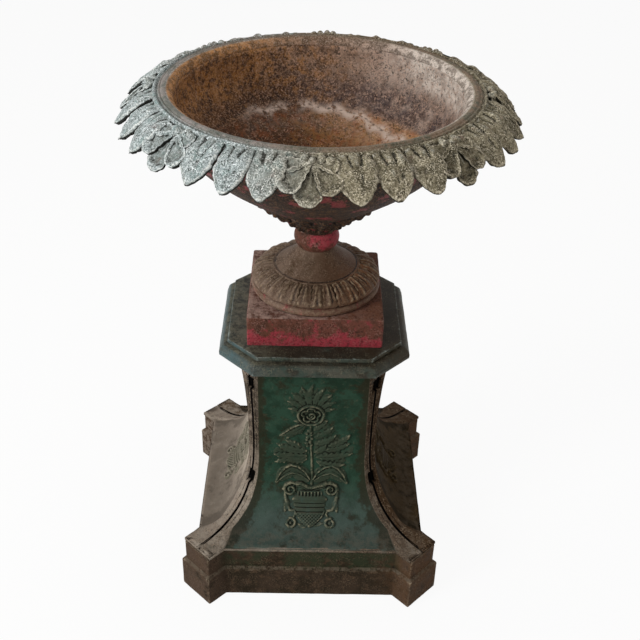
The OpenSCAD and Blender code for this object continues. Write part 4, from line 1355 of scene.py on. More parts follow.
# Angle, length and half width of the petals that stand round the rose.
CROWN_PETALS = (
    (-84, 40, 7), (-62, 46, 8), (-40, 53, 8), (-18, 57, 7.5), (3, 62, 7.5),
    (23, 57, 8), (43, 52, 8), (64, 47, 8), (84, 41, 7),
)


def press_rose(relief):
    """The rose: a crown of petals round a boss with a rolled edge and five curled petals."""
    for angle, size, half in CROWN_PETALS:
        a = math.radians(angle)
        root = (ROSE[0] + 16 * math.sin(a), ROSE[1] + 4 + 16 * math.cos(a))
        tip = (ROSE[0] + size * 1.05 * math.sin(a), ROSE[1] + 10 + size * 1.05 * math.cos(a))
        relief.leaf(root, tip, half, 3.6, bend=0.1 if angle > 0 else -0.1, teeth=3, veins=0.5)
    relief.boss(ROSE, 26, 25.5, 4.4, 0.35)
    relief.sink(ROSE, 21, 20.5, 3.0)
    relief.roll(spiral(ROSE, 23.5, 22.5, 1.0, 0), 3.4, 6.2)
    for k in range(5):
        a = math.radians(72 * k + 20)
        middle = (ROSE[0] + 10.5 * math.cos(a), ROSE[1] + 10.5 * math.sin(a))
        relief.roll(spiral(middle, 7.5, 6.0, 0.5, 72 * k + 20 - 90), [1.4, 2.6, 1.4], 5.6)
    relief.roll(spiral((ROSE[0] + 1, ROSE[1] - 1), 8.0, 2.0, 1.3, 200), [2.2, 1.8], 5.8)


def press_flowers(relief):
    """The rose on its stem with leaves, sprigs and buds, over the vase."""
    stem = ((0.5, 206), (1.0, 225), (-0.5, 262), (-3, 300), (-3.5, 346))
    relief.roll(stem, [3.2, 2.4, 2.0], 3.4)
    relief.tuft((0, 256), (38, 282), 40, 36, 2.6, 9)
    relief.tuft((-2, 258), (-38, 276), 34, 25, 2.6, 8)
    relief.tuft((-3, 300), (20, 325), 22, 24, 2.2, 8)
    relief.tuft((-3.5, 366), (-4, 398), 42, 34, 2.4, 15)
    for side in (-1, 1):
        press_side_leaves(relief, side)
    for root, tip, half, height, bend, teeth in STEM_LEAVES:
        relief.leaf(root, tip, half, height, bend=bend, teeth=teeth, veins=0.5)
    for k in range(13):
        size = 4.2 - 0.07 * k
        relief.boss((-6 + 4.5 * math.sin(2.4 * k), 328 - 3.0 * k), size, size, 4.0)
    relief.roll([(-12, 347), (-26, 344), (-40, 335), (-60, 317)], [1.4, 2.6, 1.2], 5.4)
    press_rose(relief)


def raised_cells(height):
    """The map's cells that the ornament covers, one more all round, none touching by a corner only."""
    raised = height > RELIEF_LEAST
    near = raised[:-1, :-1] | raised[1:, :-1] | raised[:-1, 1:] | raised[1:, 1:]
    cells = np.zeros_like(near)
    cells[1:-1, 1:-1] = near[1:-1, 1:-1] | near[:-2, 1:-1] | near[2:, 1:-1] | near[1:-1, :-2] | near[1:-1, 2:]
    for _ in range(20):
        falling = cells[:-1, :-1] & cells[1:, 1:] & ~cells[1:, :-1] & ~cells[:-1, 1:]
        rising = ~cells[:-1, :-1] & ~cells[1:, 1:] & cells[1:, :-1] & cells[:-1, 1:]
        if not (falling.any() or rising.any()):
            break
        cells[1:, :-1] |= falling
        cells[:-1, :-1] |= rising
    return cells


def relief_faces(cells):
    """Faces over the covered cells, their copies below and the walls round their edges."""
    rows, columns = cells.shape[0] + 1, cells.shape[1] + 1
    total = rows * columns
    top = grid_faces(rows, columns).reshape(rows - 1, columns - 1, 4)
    quads = [top[cells], top[cells][:, ::-1] + total]
    padded = np.pad(cells, 1)
    for beyond, (p, q) in (
        (padded[:-2, 1:-1], (0, 1)), (padded[1:-1, 2:], (1, 2)),
        (padded[2:, 1:-1], (2, 3)), (padded[1:-1, :-2], (3, 0)),
    ):
        edge = top[cells & ~beyond]
        quads.append(np.stack([edge[:, q], edge[:, p], edge[:, p] + total, edge[:, q] + total], 1))
    return np.concatenate(quads)


def on_face(levels, across, lift):
    """The map's points on the panel's face, lifted square to it."""
    slope = np.gradient(face_half(levels), levels)
    size = np.sqrt(1 + slope**2)
    x = np.repeat(across[None], len(levels), 0)
    y = -face_half(levels)[:, None] + (-1 / size)[:, None] * lift
    z = levels[:, None] + (-slope / size)[:, None] * lift
    return np.stack([x, y, z], -1).reshape(-1, 3)


def relief_shell(step, gain):
    """The flower and vase as a closed shell bedded in the front panel's face, and its mark."""
    levels, even = face_levels(step)
    keep = (even > 108) & (even < 446)
    levels, even = levels[keep], even[keep]
    across = np.arange(-82, 82.001, step)
    relief = Relief(across, even)
    press_flowers(relief)
    press_vase(relief)
    height = relief.height * gain
    lifts = (np.where(height > RELIEF_LEAST, height, -0.8), np.full_like(height, -3.0))
    points = np.concatenate([on_face(levels, across, lift) for lift in lifts])
    quads = relief_faces(raised_cells(height))
    used = np.unique(quads)
    new = np.zeros(len(points), int)
    new[used] = np.arange(len(used))
    mark = np.concatenate([smooth(height, 0.0, 1.5).ravel(), np.zeros(height.size)])[used]
    return (points[used], new[quads], NO_TRIS), {"relief": mark}


def cap_plan(inset):
    """Corners of the cap's plan: a square with its corners cut off."""
    half = CAP_HALF - inset
    cut = math.sqrt(2) * (CAP_CORNER - inset) - half
    return four_corners(np.array([[cut, -half], [half, -cut]]))


def cap_shell(groove):
    """The cap: band, ovolo, groove and fillet, with its recess below and its drain."""

    def plan(inset):
        return eased(cap_plan(inset), 1.6, 8.0, cap_plan(0))

    ovolo = [
        (plan(1.4 + 13.0 * (1 - math.cos(a))), CAP_Z + 7.0 + 13.4 * math.sin(a), 1.2)
        for a in np.radians((20, 42, 64, 84))
    ]
    sunk = plan(15.4 + groove)
    drain, recess = to_circle(plan(16), 30), to_square(plan(16), 92)
    under = CAP_TOP - 10
    rows = (
        (plan(0.4), CAP_Z, 0.8), (plan(0), CAP_Z + 5.6, 0.9), (plan(1.4), CAP_Z + 6.9, 0.3), *ovolo,
        (sunk, CAP_Z + 20.4, 0.4), (sunk, CAP_Z + 22.0, 0.4), (plan(15.2), CAP_Z + 22.8, 0.6),
        (plan(15.6), CAP_TOP, 1.5), (drain, CAP_TOP, 0), (drain, under, 0), (recess, under, 0),
        (recess, CAP_Z, 0),
    )
    return stacked(rows, 8.0)


# Shapes of the urn.


def block_shell():
    """The square block under the round foot, hollow from below."""
    corners = four_corners(np.array([[FOOT_BLOCK_HALF, -FOOT_BLOCK_HALF]]))

    def plan(half):
        return eased(corners * half / FOOT_BLOCK_HALF, 4.0, 6.0, corners)

    hole, hollow, under = to_circle(plan(112), 100), plan(FOOT_BLOCK_HALF - 9), BLOCK_TOP - 9
    rows = (
        (plan(116.2), CAP_TOP, 1.5), (plan(FOOT_BLOCK_HALF), BLOCK_TOP, 3.2), (hole, BLOCK_TOP, 0),
        (hole, under, 0), (hollow, under, 0), (hollow, CAP_TOP, 0),
    )
    return stacked(rows, 6.0)


def foot_outline():
    """Radius and height up the outside of the round foot: torus, fillet, band, bead and cone."""
    line = [(112.0, BLOCK_TOP - 1.0)]
    for a in np.radians(np.linspace(-70, 90, 12)):
        line.append((106.0 + 7.6 * math.cos(a), BLOCK_TOP + 7.5 * (1 + math.sin(a))))
    line += [(104.5, BLOCK_TOP + 15.2), (103.0, BLOCK_TOP + 17.0), (104.5, BLOCK_TOP + 18.6)]
    for a in np.radians(np.linspace(4, 86, 20)):
        line.append((BAND_TOP_RADIUS + 30.5 * math.cos(a) ** 1.3, BAND_Z + 22 * math.sin(a) ** 1.4))
    for a in np.radians(np.linspace(-60, 90, 8)):
        line.append((75.0 + 1.8 * math.cos(a), BEAD_Z - 0.6 + 1.8 * math.sin(a)))
    for u in np.linspace(0.02, 1, 22):
        line.append((FOOT_NECK + 41 * (1 - u) ** 1.35, BEAD_Z + 37.4 * u))
    return line


def foot_shell():
    """The round foot, hollow from below, with the rod's hole in its neck."""
    floor = KNOP_Z - 32
    inside = [
        (ROD_HOLE, KNOP_Z), (ROD_HOLE, floor), (30.0, floor), (67.5, BEAD_Z - 9),
        (102.5, BLOCK_TOP + 15), (102.5, BLOCK_TOP - 1.0),
    ]
    profile = np.concatenate([divided(foot_outline(), 2.2), divided(inside, 6.0)])
    return loft(lathe(profile, 220), joined=True)


def knop_shell():
    """The turned knop, with the rod's hole through it."""
    line = [(ROD_HOLE, KNOP_Z), (FOOT_NECK, KNOP_Z)]
    for u in np.linspace(0.04, 0.96, 26):
        base = FOOT_NECK + (BOWL_NECK - FOOT_NECK) * u
        line.append((base + (39.2 - base) * math.sin(math.pi * u) ** 0.8, KNOP_Z + 34 * u))
    line += [(BOWL_NECK, BOWL_Z), (ROD_HOLE, BOWL_Z)]
    back = divided([(ROD_HOLE, BOWL_Z), (ROD_HOLE, KNOP_Z)], 4.0)[1:-1]
    return loft(lathe(np.concatenate([divided(line, 2.0), back]), 120), joined=True)


def band_surface(s, side, lift):
    """Points on the leaf band of the foot, from its top edge down and outwards."""
    a = math.pi / 2 * (1 - np.clip(s, 0, 1))
    r = BAND_TOP_RADIUS + 37.0 * np.cos(a) ** 1.15
    z = BAND_Z - 1.5 + 23.5 * np.sin(a) ** 1.2
    turn = side / r
    r, z = r + lift * 0.45, z + lift * 0.9
    return np.stack([r * np.sin(turn), -r * np.cos(turn), z], -1)


def bowl_outline():
    """Radius and height up the outside of the bowl."""
    z = np.linspace(0, 232, 110)
    s = z / BOWL_RISE
    return np.column_stack([BOWL_NECK + BOWL_SPREAD * (1 - (1 - s**1.5) ** 2.9), BOWL_Z + z])


# Radius and height from the top of the lip's moulding, from the inside out.
LIP_LINE = [
    (231, -14), (232.2, -10.5), (234.5, -6.5), (238, -3), (242, -0.9), (245.5, 0), (248.4, -0.2), (250, -1.5),
    (250.9, -2.6), (251.8, -1.8), (253, -1.3), (254.2, -2.2), (255, -4.0), (256.2, -5.0), (257.4, -4.0),
    (258.2, -2.4), (259.6, -1.4), (261.2, -1.6), (262.6, -3.2), (263.6, -6.0), (263.2, -14),
]

# Where the rim's leaves start, their slope there, the radius of their droop and of their middle.
LEAF_ROOT = 259.0
LEAF_SLOPE = math.radians(-19.3)
LEAF_RADIUS = 111.5
LEAF_MIDDLE = 288.0


def bowl_profile():
    """Radius and height all round the bowl's wall, and where its outside and its inside start."""
    outside = bowl_outline()
    inside = moved_in(outside, BOWL_WALL)
    inside = inside[inside[:, 1] > BOWL_FLOOR_Z + 1]
    ledge = RIM_Z - 8
    flange = [(241.0, ledge), (FLANGE_RADIUS, ledge), (FLANGE_RADIUS, RIM_Z), (inside[-1, 0], RIM_Z)]
    floor = divided([(inside[0, 0], BOWL_FLOOR_Z), (ROD_HOLE, BOWL_FLOOR_Z)], 4.0)
    parts = [
        divided([(ROD_HOLE, BOWL_Z), (BOWL_NECK, BOWL_Z)], 5.0)[1:-1], divided(outside, 2.6),
        divided(flange, 5.0), divided(np.concatenate([inside[::-1], floor]), 2.6),
        divided([(ROD_HOLE, BOWL_FLOOR_Z), (ROD_HOLE, BOWL_Z)], 8.0)[1:],
    ]
    return np.concatenate(parts), len(parts[0]), sum(len(part) for part in parts[:3])


def calyx(angle, share, count):
    """How high the leaves under the bowl stand, 0 to 1, and where they cover it."""
    v = (angle * count / (2 * math.pi)) % 1.0 * 2 - 1
    reach = 0.3 + 0.16 * np.sqrt(np.clip(1 - np.abs(v) ** 2.2, 0, 1))
    over = smooth(reach - share, 0.0, 0.035)
    swell = 0.35 + 0.65 * np.sqrt(np.clip(1 - np.abs(v) ** 3, 0, 1))
    rise = swell * (0.7 + 0.3 * np.cos(v * 6)) * (0.75 + 0.25 * np.cos(share * 55))
    return over * rise * smooth(share, 0.0, 0.08), over


def bowl_shell(rim):
    """The bowl with the calyx on its outside and the rust ledge inside, and its marks."""
    profile, first_outer, first_inner = bowl_profile()
    count = 288
    r, z = np.repeat(profile[:, :1], count, 1), np.repeat(profile[:, 1:], count, 1)
    row = np.arange(len(profile))[:, None]
    is_outer = (row < first_inner) & (row >= first_outer)
    is_inner = row >= first_inner - 5
    angle = np.arange(count)[None] * 2 * math.pi / count + 0.1
    rise, over = calyx(angle, (z - BOWL_Z) / 150.0, rim.calyx_count)
    lift = rim.calyx_height * 1000 * rise * is_outer
    slope = np.gradient(profile, axis=0)
    slope /= np.maximum(np.linalg.norm(slope, axis=1), 1e-6)[:, None]
    wobble = 1.6 * np.sin(angle * 5 + 1) + 1.2 * np.sin(angle * 11 + 2)
    level = TIDE_LEVEL + wobble - 22.0 * smooth(np.sin(angle - 0.1), 0.0, 0.8)
    ledge = smooth(z, level + 2, level - 3) * is_inner * (r > 20)
    new_r = r + slope[:, 1][:, None] * lift - 4.0 * ledge * smooth(r, 60, 120)
    new_z = z - slope[:, 0][:, None] * lift + 2.5 * ledge * smooth(r, 20, 60)
    ring = circle(count)
    loops = np.stack([ring[None, :, 0] * new_r, ring[None, :, 1] * new_r, new_z], -1)
    tide = (bell(z, level + 3.0 * np.sin(angle * 23), 6.0) + 0.12 * bell(z, level - 18, 10)) * is_inner
    rough = ledge + 0.5 * is_inner + 0.8 * is_outer * over
    marks = {
        "inside": np.repeat(is_inner.astype(float), count, 1).ravel(),
        "tide": np.clip(tide, 0, 1).ravel(), "rough": np.clip(rough, 0, 1).ravel(),
    }
    return loft(loops, joined=True), marks


def cut_drains(bowl):
    """Cuts the four drain holes through the bowl's floor."""
    line = [(DRAIN_RADIUS, BOWL_Z - 20), (DRAIN_RADIUS, BOWL_FLOOR_Z + 30)]
    hole = lathe(line, 24) + np.array([DRAIN_REACH, 0, 0])
    cutter = cast_piece("drain_cutter", *[(loft(turned(hole, a)), {}) for a in (45, 135, 225, 315)])
    cut = bowl.modifiers.new("Drains", "BOOLEAN")
    cut.operation = "DIFFERENCE"
    cut.solver = "EXACT"
    cut.object = cutter
    keep_result(bowl)
    drop(cutter)


def leaf_surface(s, side, lift):
    """Points on the drooping surface of the rim's leaves, from root to tip, in mm along it."""
    a = LEAF_SLOPE - s / LEAF_RADIUS
    r = LEAF_ROOT + LEAF_RADIUS * (np.sin(-a) - math.sin(-LEAF_SLOPE)) + lift * np.sin(-a)
    z = LIP_Z - 7.0 - LEAF_RADIUS * (math.cos(LEAF_SLOPE) - np.cos(a)) + lift * np.cos(a)
    turn = side / LEAF_MIDDLE
    return np.stack([r * np.sin(turn), -r * np.cos(turn), z], -1)


def lip_shell():
    """The moulded lip, with marks for its inner side and its crest."""
    low = LIP_Z - 14
    line = divided([(r, LIP_Z + z) for r, z in LIP_LINE], 1.6)
    line = np.concatenate([line, divided([(263.2, low), (231, low)], 4.0)[1:-1]])
    inner = 1 - smooth(line[:, 0], 239, 243)
    crest = smooth(line[:, 0], 241, 244) * (1 - smooth(line[:, 0], 252, 258))
    count = 420
    marks = {"inner": np.repeat(inner, count), "crest": np.repeat(crest, count)}
    return loft(lathe(line, count), joined=True), marks


def petal(surface, root, heading, size, half, crown, thick, rows, columns):
    """A closed leaf on a surface and its marks: half widths, a crown of heights, rounded edges."""
    u = 1 - (1 - np.linspace(0, 1, rows)) ** 1.5
    above = np.sin(np.linspace(-math.pi / 2, math.pi / 2, columns))
    below = np.sin(np.linspace(math.pi / 2, -math.pi / 2, 9))[1:-1]
    u, a = np.meshgrid(u, np.concatenate([above, below]), indexing="ij")
    rim = np.sqrt(np.clip(1 - np.abs(a) ** 5, 0, None)) * np.sqrt(
        np.clip(1 - np.clip((u - 0.9) / 0.1, 0, 1) ** 2.5, 0.02, None)
    )
    top = crown(u, a)
    is_top = np.broadcast_to(np.arange(a.shape[1])[None] < columns, u.shape)
    lift = np.where(is_top, top + rim * thick / 2, top * 0.35 - rim * thick / 2)
    across = half(u, a) * a
    way = np.array([math.cos(heading), math.sin(heading)])
    s = root[0] + way[0] * u * size - way[1] * across
    side = root[1] + way[1] * u * size + way[0] * across
    out = np.maximum(np.abs(a), 0.9 + (u - 0.96) * 2.5)
    hollow = np.clip((0.6 - top / 6) * 2, 0, 1) * (np.abs(a) < 0.9) * (u < 0.85)
    # Marks: a thin band inside the edge for a painted highlight, the edge sides and the underside for painted
    # shade, and the hollows.
    marks = {
        "border": bell(out, 0.88, 0.055) * is_top * smooth(u, 0.15, 0.4),
        "side": np.maximum(smooth(out, 0.955, 0.99), 1.0 - is_top),
        "hollow": hollow * is_top,
    }
    marks = {name: np.concatenate([mark.ravel(), [0.0, 1.0]]) for name, mark in marks.items()}
    return loft(surface(s, side, lift)), marks


def rim_petal(root, heading, size, half, crown, thick, rows, columns):
    """A leaf on the surface of the rim's leaves, its heading in degrees."""
    return petal(leaf_surface, root, math.radians(heading), size, half, crown, thick, rows, columns)


def table_of(values, places=(0, 0.2, 0.5, 0.8, 1)):
    """A function that reads between the values of a short table."""
    return lambda u, a=None: np.interp(u, places, values)


def pointed_leaf(kind, thick):
    """One of three kinds of pointed leaf, with grooves at its root and one side over the next."""
    lean = (0.0, 0.05, -0.04)[kind]
    left, right = ((0.66, 0.54), (0.58, 0.7), (0.7, 0.6))[kind]
    gain = (1.0, 0.97, 1.05)[kind]

    def half(u, a):
        near_tip = np.clip((u - 0.36) / 0.64, 0, 1)
        wide = 28.0 * (1 - near_tip**1.9) ** 0.72 * (1 - 0.2 * (1 - u / 0.4) ** 2 * (u < 0.4))
        teeth = 2.0 * np.where(a < 0, bell(u, left, 0.05), bell(u, right, 0.05))
        waves = 0.6 * np.sin(u * 37 + kind * 2 + np.sign(a) * 1.3) * (u > 0.1) * (u < 0.8)
        return np.maximum(wide * gain * (1 + lean * np.sign(a)) + teeth * (u < 0.9) + waves, 0.8)

    def crown(u, a):
        groove_lines = [bell(a, sign * (0.42 - 0.6 * u), 0.1) for sign in (-1, 1)]
        grooves = sum(line * (1 - smooth(u, 0.26, 0.42)) for line in groove_lines)
        body = 2.0 + 4.0 * (1 - a * a) * smooth(u, 0.02, 0.3) * (1 - 0.5 * smooth(u, 0.6, 1))
        edge = 1.4 * bell(np.abs(a), 0.86, 0.1) * smooth(u, 0.2, 0.5)
        tip = 2.0 * smooth(u, 0.84, 1.0)
        curl = (1.0, 3.0, 1.6)[kind] * bell(u, 0.22, 0.12) * bell(a, 0.66, 0.22)
        dent = -2.4 * bell(u, 0.55, 0.12) * bell(a, (-0.3, 0.35, 0.1)[kind], 0.25)
        fold = -1.6 * bell(a, 0.1 * (kind - 1) + 0.15 * u, 0.07) * bell(u, 0.6, 0.25)
        return body - 4.0 * grooves + edge + tip + curl + dent + fold + 2.0 * a * smooth(u, 0.0, 0.2)

    return rim_petal((0.0, 0.0), 0.0, 77.0, half, crown, thick, 42, 33)


def fan_lobe(root, heading, size, wide, depth, lift, rib, thick):
    """One scooped lobe of a fan leaf, with a rib near its middle and crumbs of crust near its tip."""

    def crown(u, a):
        inside = smooth(u, 0.08, 0.3) * (1 - smooth(u, 0.76, 0.94))
        hollow = depth * np.clip(1 - np.abs(a) ** 3.5, 0, 1) * inside
        spine = rib * bell(a, 0.1, 0.14) * smooth(u, 0.1, 0.3) * (1 - smooth(u, 0.5, 0.8))
        crumbs = 0.7 * np.sin(u * 31 + a * 3) * np.sin(a * 13 + u * 9) * smooth(u, 0.5, 0.9)
        return lift + 2.2 * smooth(u, 0.0, 0.3) - hollow + spine + crumbs

    def half(u, a):
        tip = np.sqrt(np.clip(1 - np.clip((u - 0.66) / 0.34, 0, 1) ** 2, 0.002, 1))
        return wide * np.minimum(0.16 + 1.15 * u, 1) * tip + 0.8 * np.sin(u * 33) * (u < 0.94) * (u > 0.2)

    return rim_petal(root, heading, size, half, crown, thick, 38, 25)


def fan_ear(root, size, high, thick):
    """One of the small domed ears and the boss at a fan leaf's root."""

    def crown(u, a):
        return high * (1 - a * a) * np.sin(math.pi * u) + 2.5

    return rim_petal(root, 0.0, size, table_of([3.5, 6.0, 7.0, 6.0, 1.5]), crown, thick, 14, 13)


# Heading, length, width, depth, lift and rib of a fan leaf's lobes.
FAN_LOBES = (
    (-80.0, 43.0, 14.0, 4.6, 2.8, 0.0), (80.0, 40.0, 14.0, 3.6, 2.6, 0.0), (38.0, 57.0, 19.0, 4.6, 3.0, 1.5),
    (-3.0, 64.0, 19.5, 5.2, 2.0, 3.0), (-43.0, 58.0, 19.5, 6.6, 5.2, 1.0),
)

# Root, length and height of a fan leaf's boss and ears.
FAN_EARS = (
    ((7.0, 0.0), 13.0, 6.0), ((2.0, 13.0), 15.0, 4.6), ((2.0, -12.0), 15.0, 4.6), ((6.0, 25.0), 13.0, 4.0),
)


def fan_leaf(thick):
    """A fan leaf like a shell: five scooped lobes from one point, with ears and a boss above."""
    back_half = table_of([34, 38, 34, 22, 4], [0, 0.3, 0.6, 0.85, 1])
    made = [rim_petal((-1.0, 0.0), 0.0, 56.0, back_half, lambda u, a: 0 * u - 4, thick, 16, 13)]
    made += [fan_lobe((15.0, -1.0), *lobe, thick * 0.8) for lobe in FAN_LOBES]
    made += [fan_ear(*ear, thick) for ear in FAN_EARS]
    return made


def frond(kind):
    """One frond of the foot's band, ribbed and widening towards its ragged lower end."""
    wide = table_of([6.8, 8.2, 10.2, 12.4, 11.4])

    def half(u, a):
        return wide(u) * (1 + 0.07 * np.sin(u * 26 + kind * 2.1 + np.sign(a)))

    def crown(u, a):
        fan = a * (5.0 + kind * 0.8) * (1.25 - 0.5 * u) + (kind - 1) * 1.6 * u
        ribs = 0.8 * np.cos(fan * 1.25 + kind) * smooth(u, 0.02, 0.3)
        rib = 1.5 * bell(a, 0.25 * (kind - 1) * u, 0.16) * (1 - smooth(u, 0.7, 0.98))
        swell = 0.9 * (1 - a * a)
        notches = 1.0 * bell(u, 0.84, 0.1) * np.abs(np.cos(a * 4.5 + kind)) - 1.2 * smooth(u, 0.92, 1.0)
        return ribs + rib + swell + notches

    return petal(band_surface, (0.0, 0.0), 0.0, 1.0, half, crown, 2.4, 24, 21)


def make_ring(name, leaves, **values):
    """Sets up to three kinds of leaf round the axis and joins them in one piece."""
    sources = [cast_piece(f"{name}_kind_{k}", *parts) for k, parts in enumerate(leaves)]
    piece = new_piece(name, bpy.data.meshes.new(name))
    one, two, three = [sources[k % len(sources)] for k in range(3)]
    ring_tree().run(piece, leaf_one=one, leaf_two=two, leaf_three=three, **values)
    for source in sources:
        drop(source)
    return piece


# The studio.


def seen_rays(nodes):
    """1 for the rays that show the background: from the camera, off metal and through glass."""
    kinds = ("Is Camera Ray", "Is Glossy Ray", "Is Transmission Ray")
    seen, glossy, through = [nodes.node("ShaderNodeLightPath", output=kind) for kind in kinds]
    return seen.most(glossy).most(through)


def lit_tree(owner):
    """The emptied node tree of a material or a world."""
    owner.use_nodes = True
    return Nodes(owner.node_tree)


def studio_floor(studio):
    """A wide matt floor that shows nearly as bright as the background, and its place on the stage."""
    reach = 30.0
    mesh = bpy.data.meshes.new("studio_floor")
    corners = [(-reach, -reach, 0), (reach, -reach, 0), (reach, reach, 0), (-reach, reach, 0)]
    mesh.from_pydata(corners, [], [(0, 1, 2, 3)])
    paper = bpy.data.materials.new("Studio floor")
    nodes = lit_tree(paper)
    glow = nodes.node("ShaderNodeEmission", inputs={"Color": (1.0, 1.0, 1.0), "Strength": 1.0})
    matt = nodes.node("ShaderNodeBsdfDiffuse", inputs={"Color": tuple(studio.floor)})
    share = seen_rays(nodes) * BACKGROUND_SHARE
    mixed = nodes.node("ShaderNodeMixShader", inputs={0: share, 1: matt, 2: glow})
    nodes.node("ShaderNodeOutputMaterial", inputs={"Surface": mixed})
    mesh.materials.append(paper)
    new_piece("studio_floor", mesh)


def studio_sky(studio):
    """Even light from all round, plain white where the camera sees it."""
    world = bpy.data.worlds.new("Studio sky")
    nodes = lit_tree(world)
    even = nodes.node("ShaderNodeBackground", inputs={"Color": (0.98, 0.99, 1.0), "Strength": studio.sky})
    plain = nodes.node("ShaderNodeBackground", inputs={"Color": (1.0, 1.0, 1.0), "Strength": 1.0})
    sky = nodes.node("ShaderNodeMixShader", inputs={0: seen_rays(nodes), 1: even, 2: plain})
    nodes.node("ShaderNodeOutputWorld", inputs={"Surface": sky})
    return world


def soft_lamp(name, power, colour, place, size):
    """A round area lamp that looks at the urn's middle."""
    data = bpy.data.lights.new(name, "AREA")
    data.energy = power
    data.color = colour
    data.shape = "DISK"
    data.size = size
    lamp = bpy.data.objects.new(name, data)
    lamp.location = place
    aim = Vector((0, 0, 0.6)) - Vector(place)
    lamp.rotation_euler = aim.to_track_quat("-Z", "Y").to_euler()
    return lamp


def photo_camera():
    """The camera at the photograph's place, with its tilt."""
    data = bpy.data.cameras.new("Camera")
    data.sensor_width = 36.0
    data.lens = CAMERA_LENS
    data.clip_start, data.clip_end = 0.05, 100.0
    camera = bpy.data.objects.new("Camera", data)
    aim = CAMERA_AIM.normalized()
    level = aim.cross(Vector((0, 0, 1))).normalized()
    upright = level.cross(aim)
    right = math.cos(CAMERA_TILT) * level + math.sin(CAMERA_TILT) * upright
    up = math.cos(CAMERA_TILT) * upright - math.sin(CAMERA_TILT) * level
    axes = Matrix((right, up, -aim)).transposed()
    camera.matrix_world = Matrix.Translation(CAMERA_PLACE) @ axes.to_4x4()
    return camera


# Operators.


class UrnBase(bpy.types.Operator):
    """Build the base frame with its plinth, ledge and corner blocks"""

    bl_idname = "urn.base"
    bl_label = "Base frame"

    def execute(self, context):
        scene = context.scene
        piece = cast_piece("base", (base_shell(scene.urn_pedestal.edge_soft * 1000), {}))
        iron = rusty_base(scene.urn_paints)
        finish_piece(piece, iron, "pedestal", "base_frame", 0.0, rounds=4)
        return {"FINISHED"}


class UrnPanels(bpy.types.Operator):
    """Build the four swept panels with the flower and vase on each"""

    bl_idname = "urn.panels"
    bl_label = "Panels"

    def execute(self, context):
        scene = context.scene
        sizes = scene.urn_pedestal
        slab, *plates = panel_plates()
        shells = [
            panel_wall(sizes.panel_step * 1000), relief_shell(sizes.relief_step * 1000, sizes.relief_gain),
            # The plates get the seam mark: near black, painted shade where they show through the gaps.
            (slab, {"strip": 1.0}), *[(plate, {"strip": 1.0, "seam": 1.0}) for plate in plates],
        ]
        for name, angle, slot, ground, *codes in PANEL_LOOKS:
            around = [((turned(shell[0], angle), *shell[1:]), marks) for shell, marks in shells]
            piece = cast_piece(f"panel_{name}_casting", *around)
            paint = panel_paint(f"Panel paint {name}", getattr(scene.urn_paints, ground), *codes)
            finish_piece(piece, paint, "pedestal", f"panel_{name}", 1.0 + angle, pits=0.4, rounds=8)
        return {"FINISHED"}


class UrnCap(bpy.types.Operator):
    """Build the cap with its band, ovolo, groove and fillet"""

    bl_idname = "urn.cap"
    bl_label = "Cap"

    def execute(self, context):
        scene = context.scene
        piece = cast_piece("cap_casting", (cap_shell(scene.urn_pedestal.cap_groove * 1000), {}))
        paint = cap_paint(scene.urn_paints)
        finish_piece(piece, paint, "pedestal", "cap", 2.0, pits=0.6, rounds=5)
        return {"FINISHED"}


class UrnFoot(bpy.types.Operator):
    """Build the urn's square block and its round foot with the band of fronds"""

    bl_idname = "urn.foot"
    bl_label = "Foot"

    def execute(self, context):
        scene = context.scene
        low, high = CAP_TOP / 1000, (CAP_TOP + 44) / 1000
        block = cast_piece("foot_block", (block_shell(), {}))
        crimson = crimson_coats(scene.urn_paints, "Crimson block paint", low, high, 0.26)
        foot = cast_piece("round_foot", (foot_shell(), {}))
        iron = foot_iron(scene.urn_paints)
        count = scene.urn_rim.frond_count
        fronds = make_ring(
            "foot_fronds", [[frond(k)] for k in range(3)], count=count, group=1,
            group_turn=2 * math.pi / count, first_turn=0.03, step_turn=0.0, turn_play=0.01,
            seed=4, lump_depth=0.0005, lump_size=0.012, material=iron,
        )
        for piece, coat, seed, pits, rounds in (
            (block, crimson, 5.0, 1.4, 5), (foot, iron, 6.0, 1.0, 6), (fronds, iron, 7.0, 0.6, 6),
        ):
            finish_piece(piece, coat, "urn", "urn_foot", seed, pits, rounds)
        return {"FINISHED"}


class UrnKnop(bpy.types.Operator):
    """Build the knop between the foot and the bowl"""

    bl_idname = "urn.knop"
    bl_label = "Knop"

    def execute(self, context):
        piece = cast_piece("knop_casting", (knop_shell(), {}))
        low, high = BOWL_Z / 1000, KNOP_Z / 1000
        paint = crimson_coats(context.scene.urn_paints, "Crimson knop paint", low, high, 0.28, -0.016)
        finish_piece(piece, paint, "urn", "knop", 8.0, rounds=5)
        return {"FINISHED"}


class UrnBowl(bpy.types.Operator):
    """Build the bowl with its calyx, its rusted inside and its drains"""

    bl_idname = "urn.bowl"
    bl_label = "Bowl"

    def execute(self, context):
        scene = context.scene
        piece = cast_piece("bowl_casting", bowl_shell(scene.urn_rim))
        cut_drains(piece)
        iron = bowl_iron(scene.urn_paints)
        finish_piece(piece, iron, "urn", "bowl", 9.0, rounds=8)
        return {"FINISHED"}


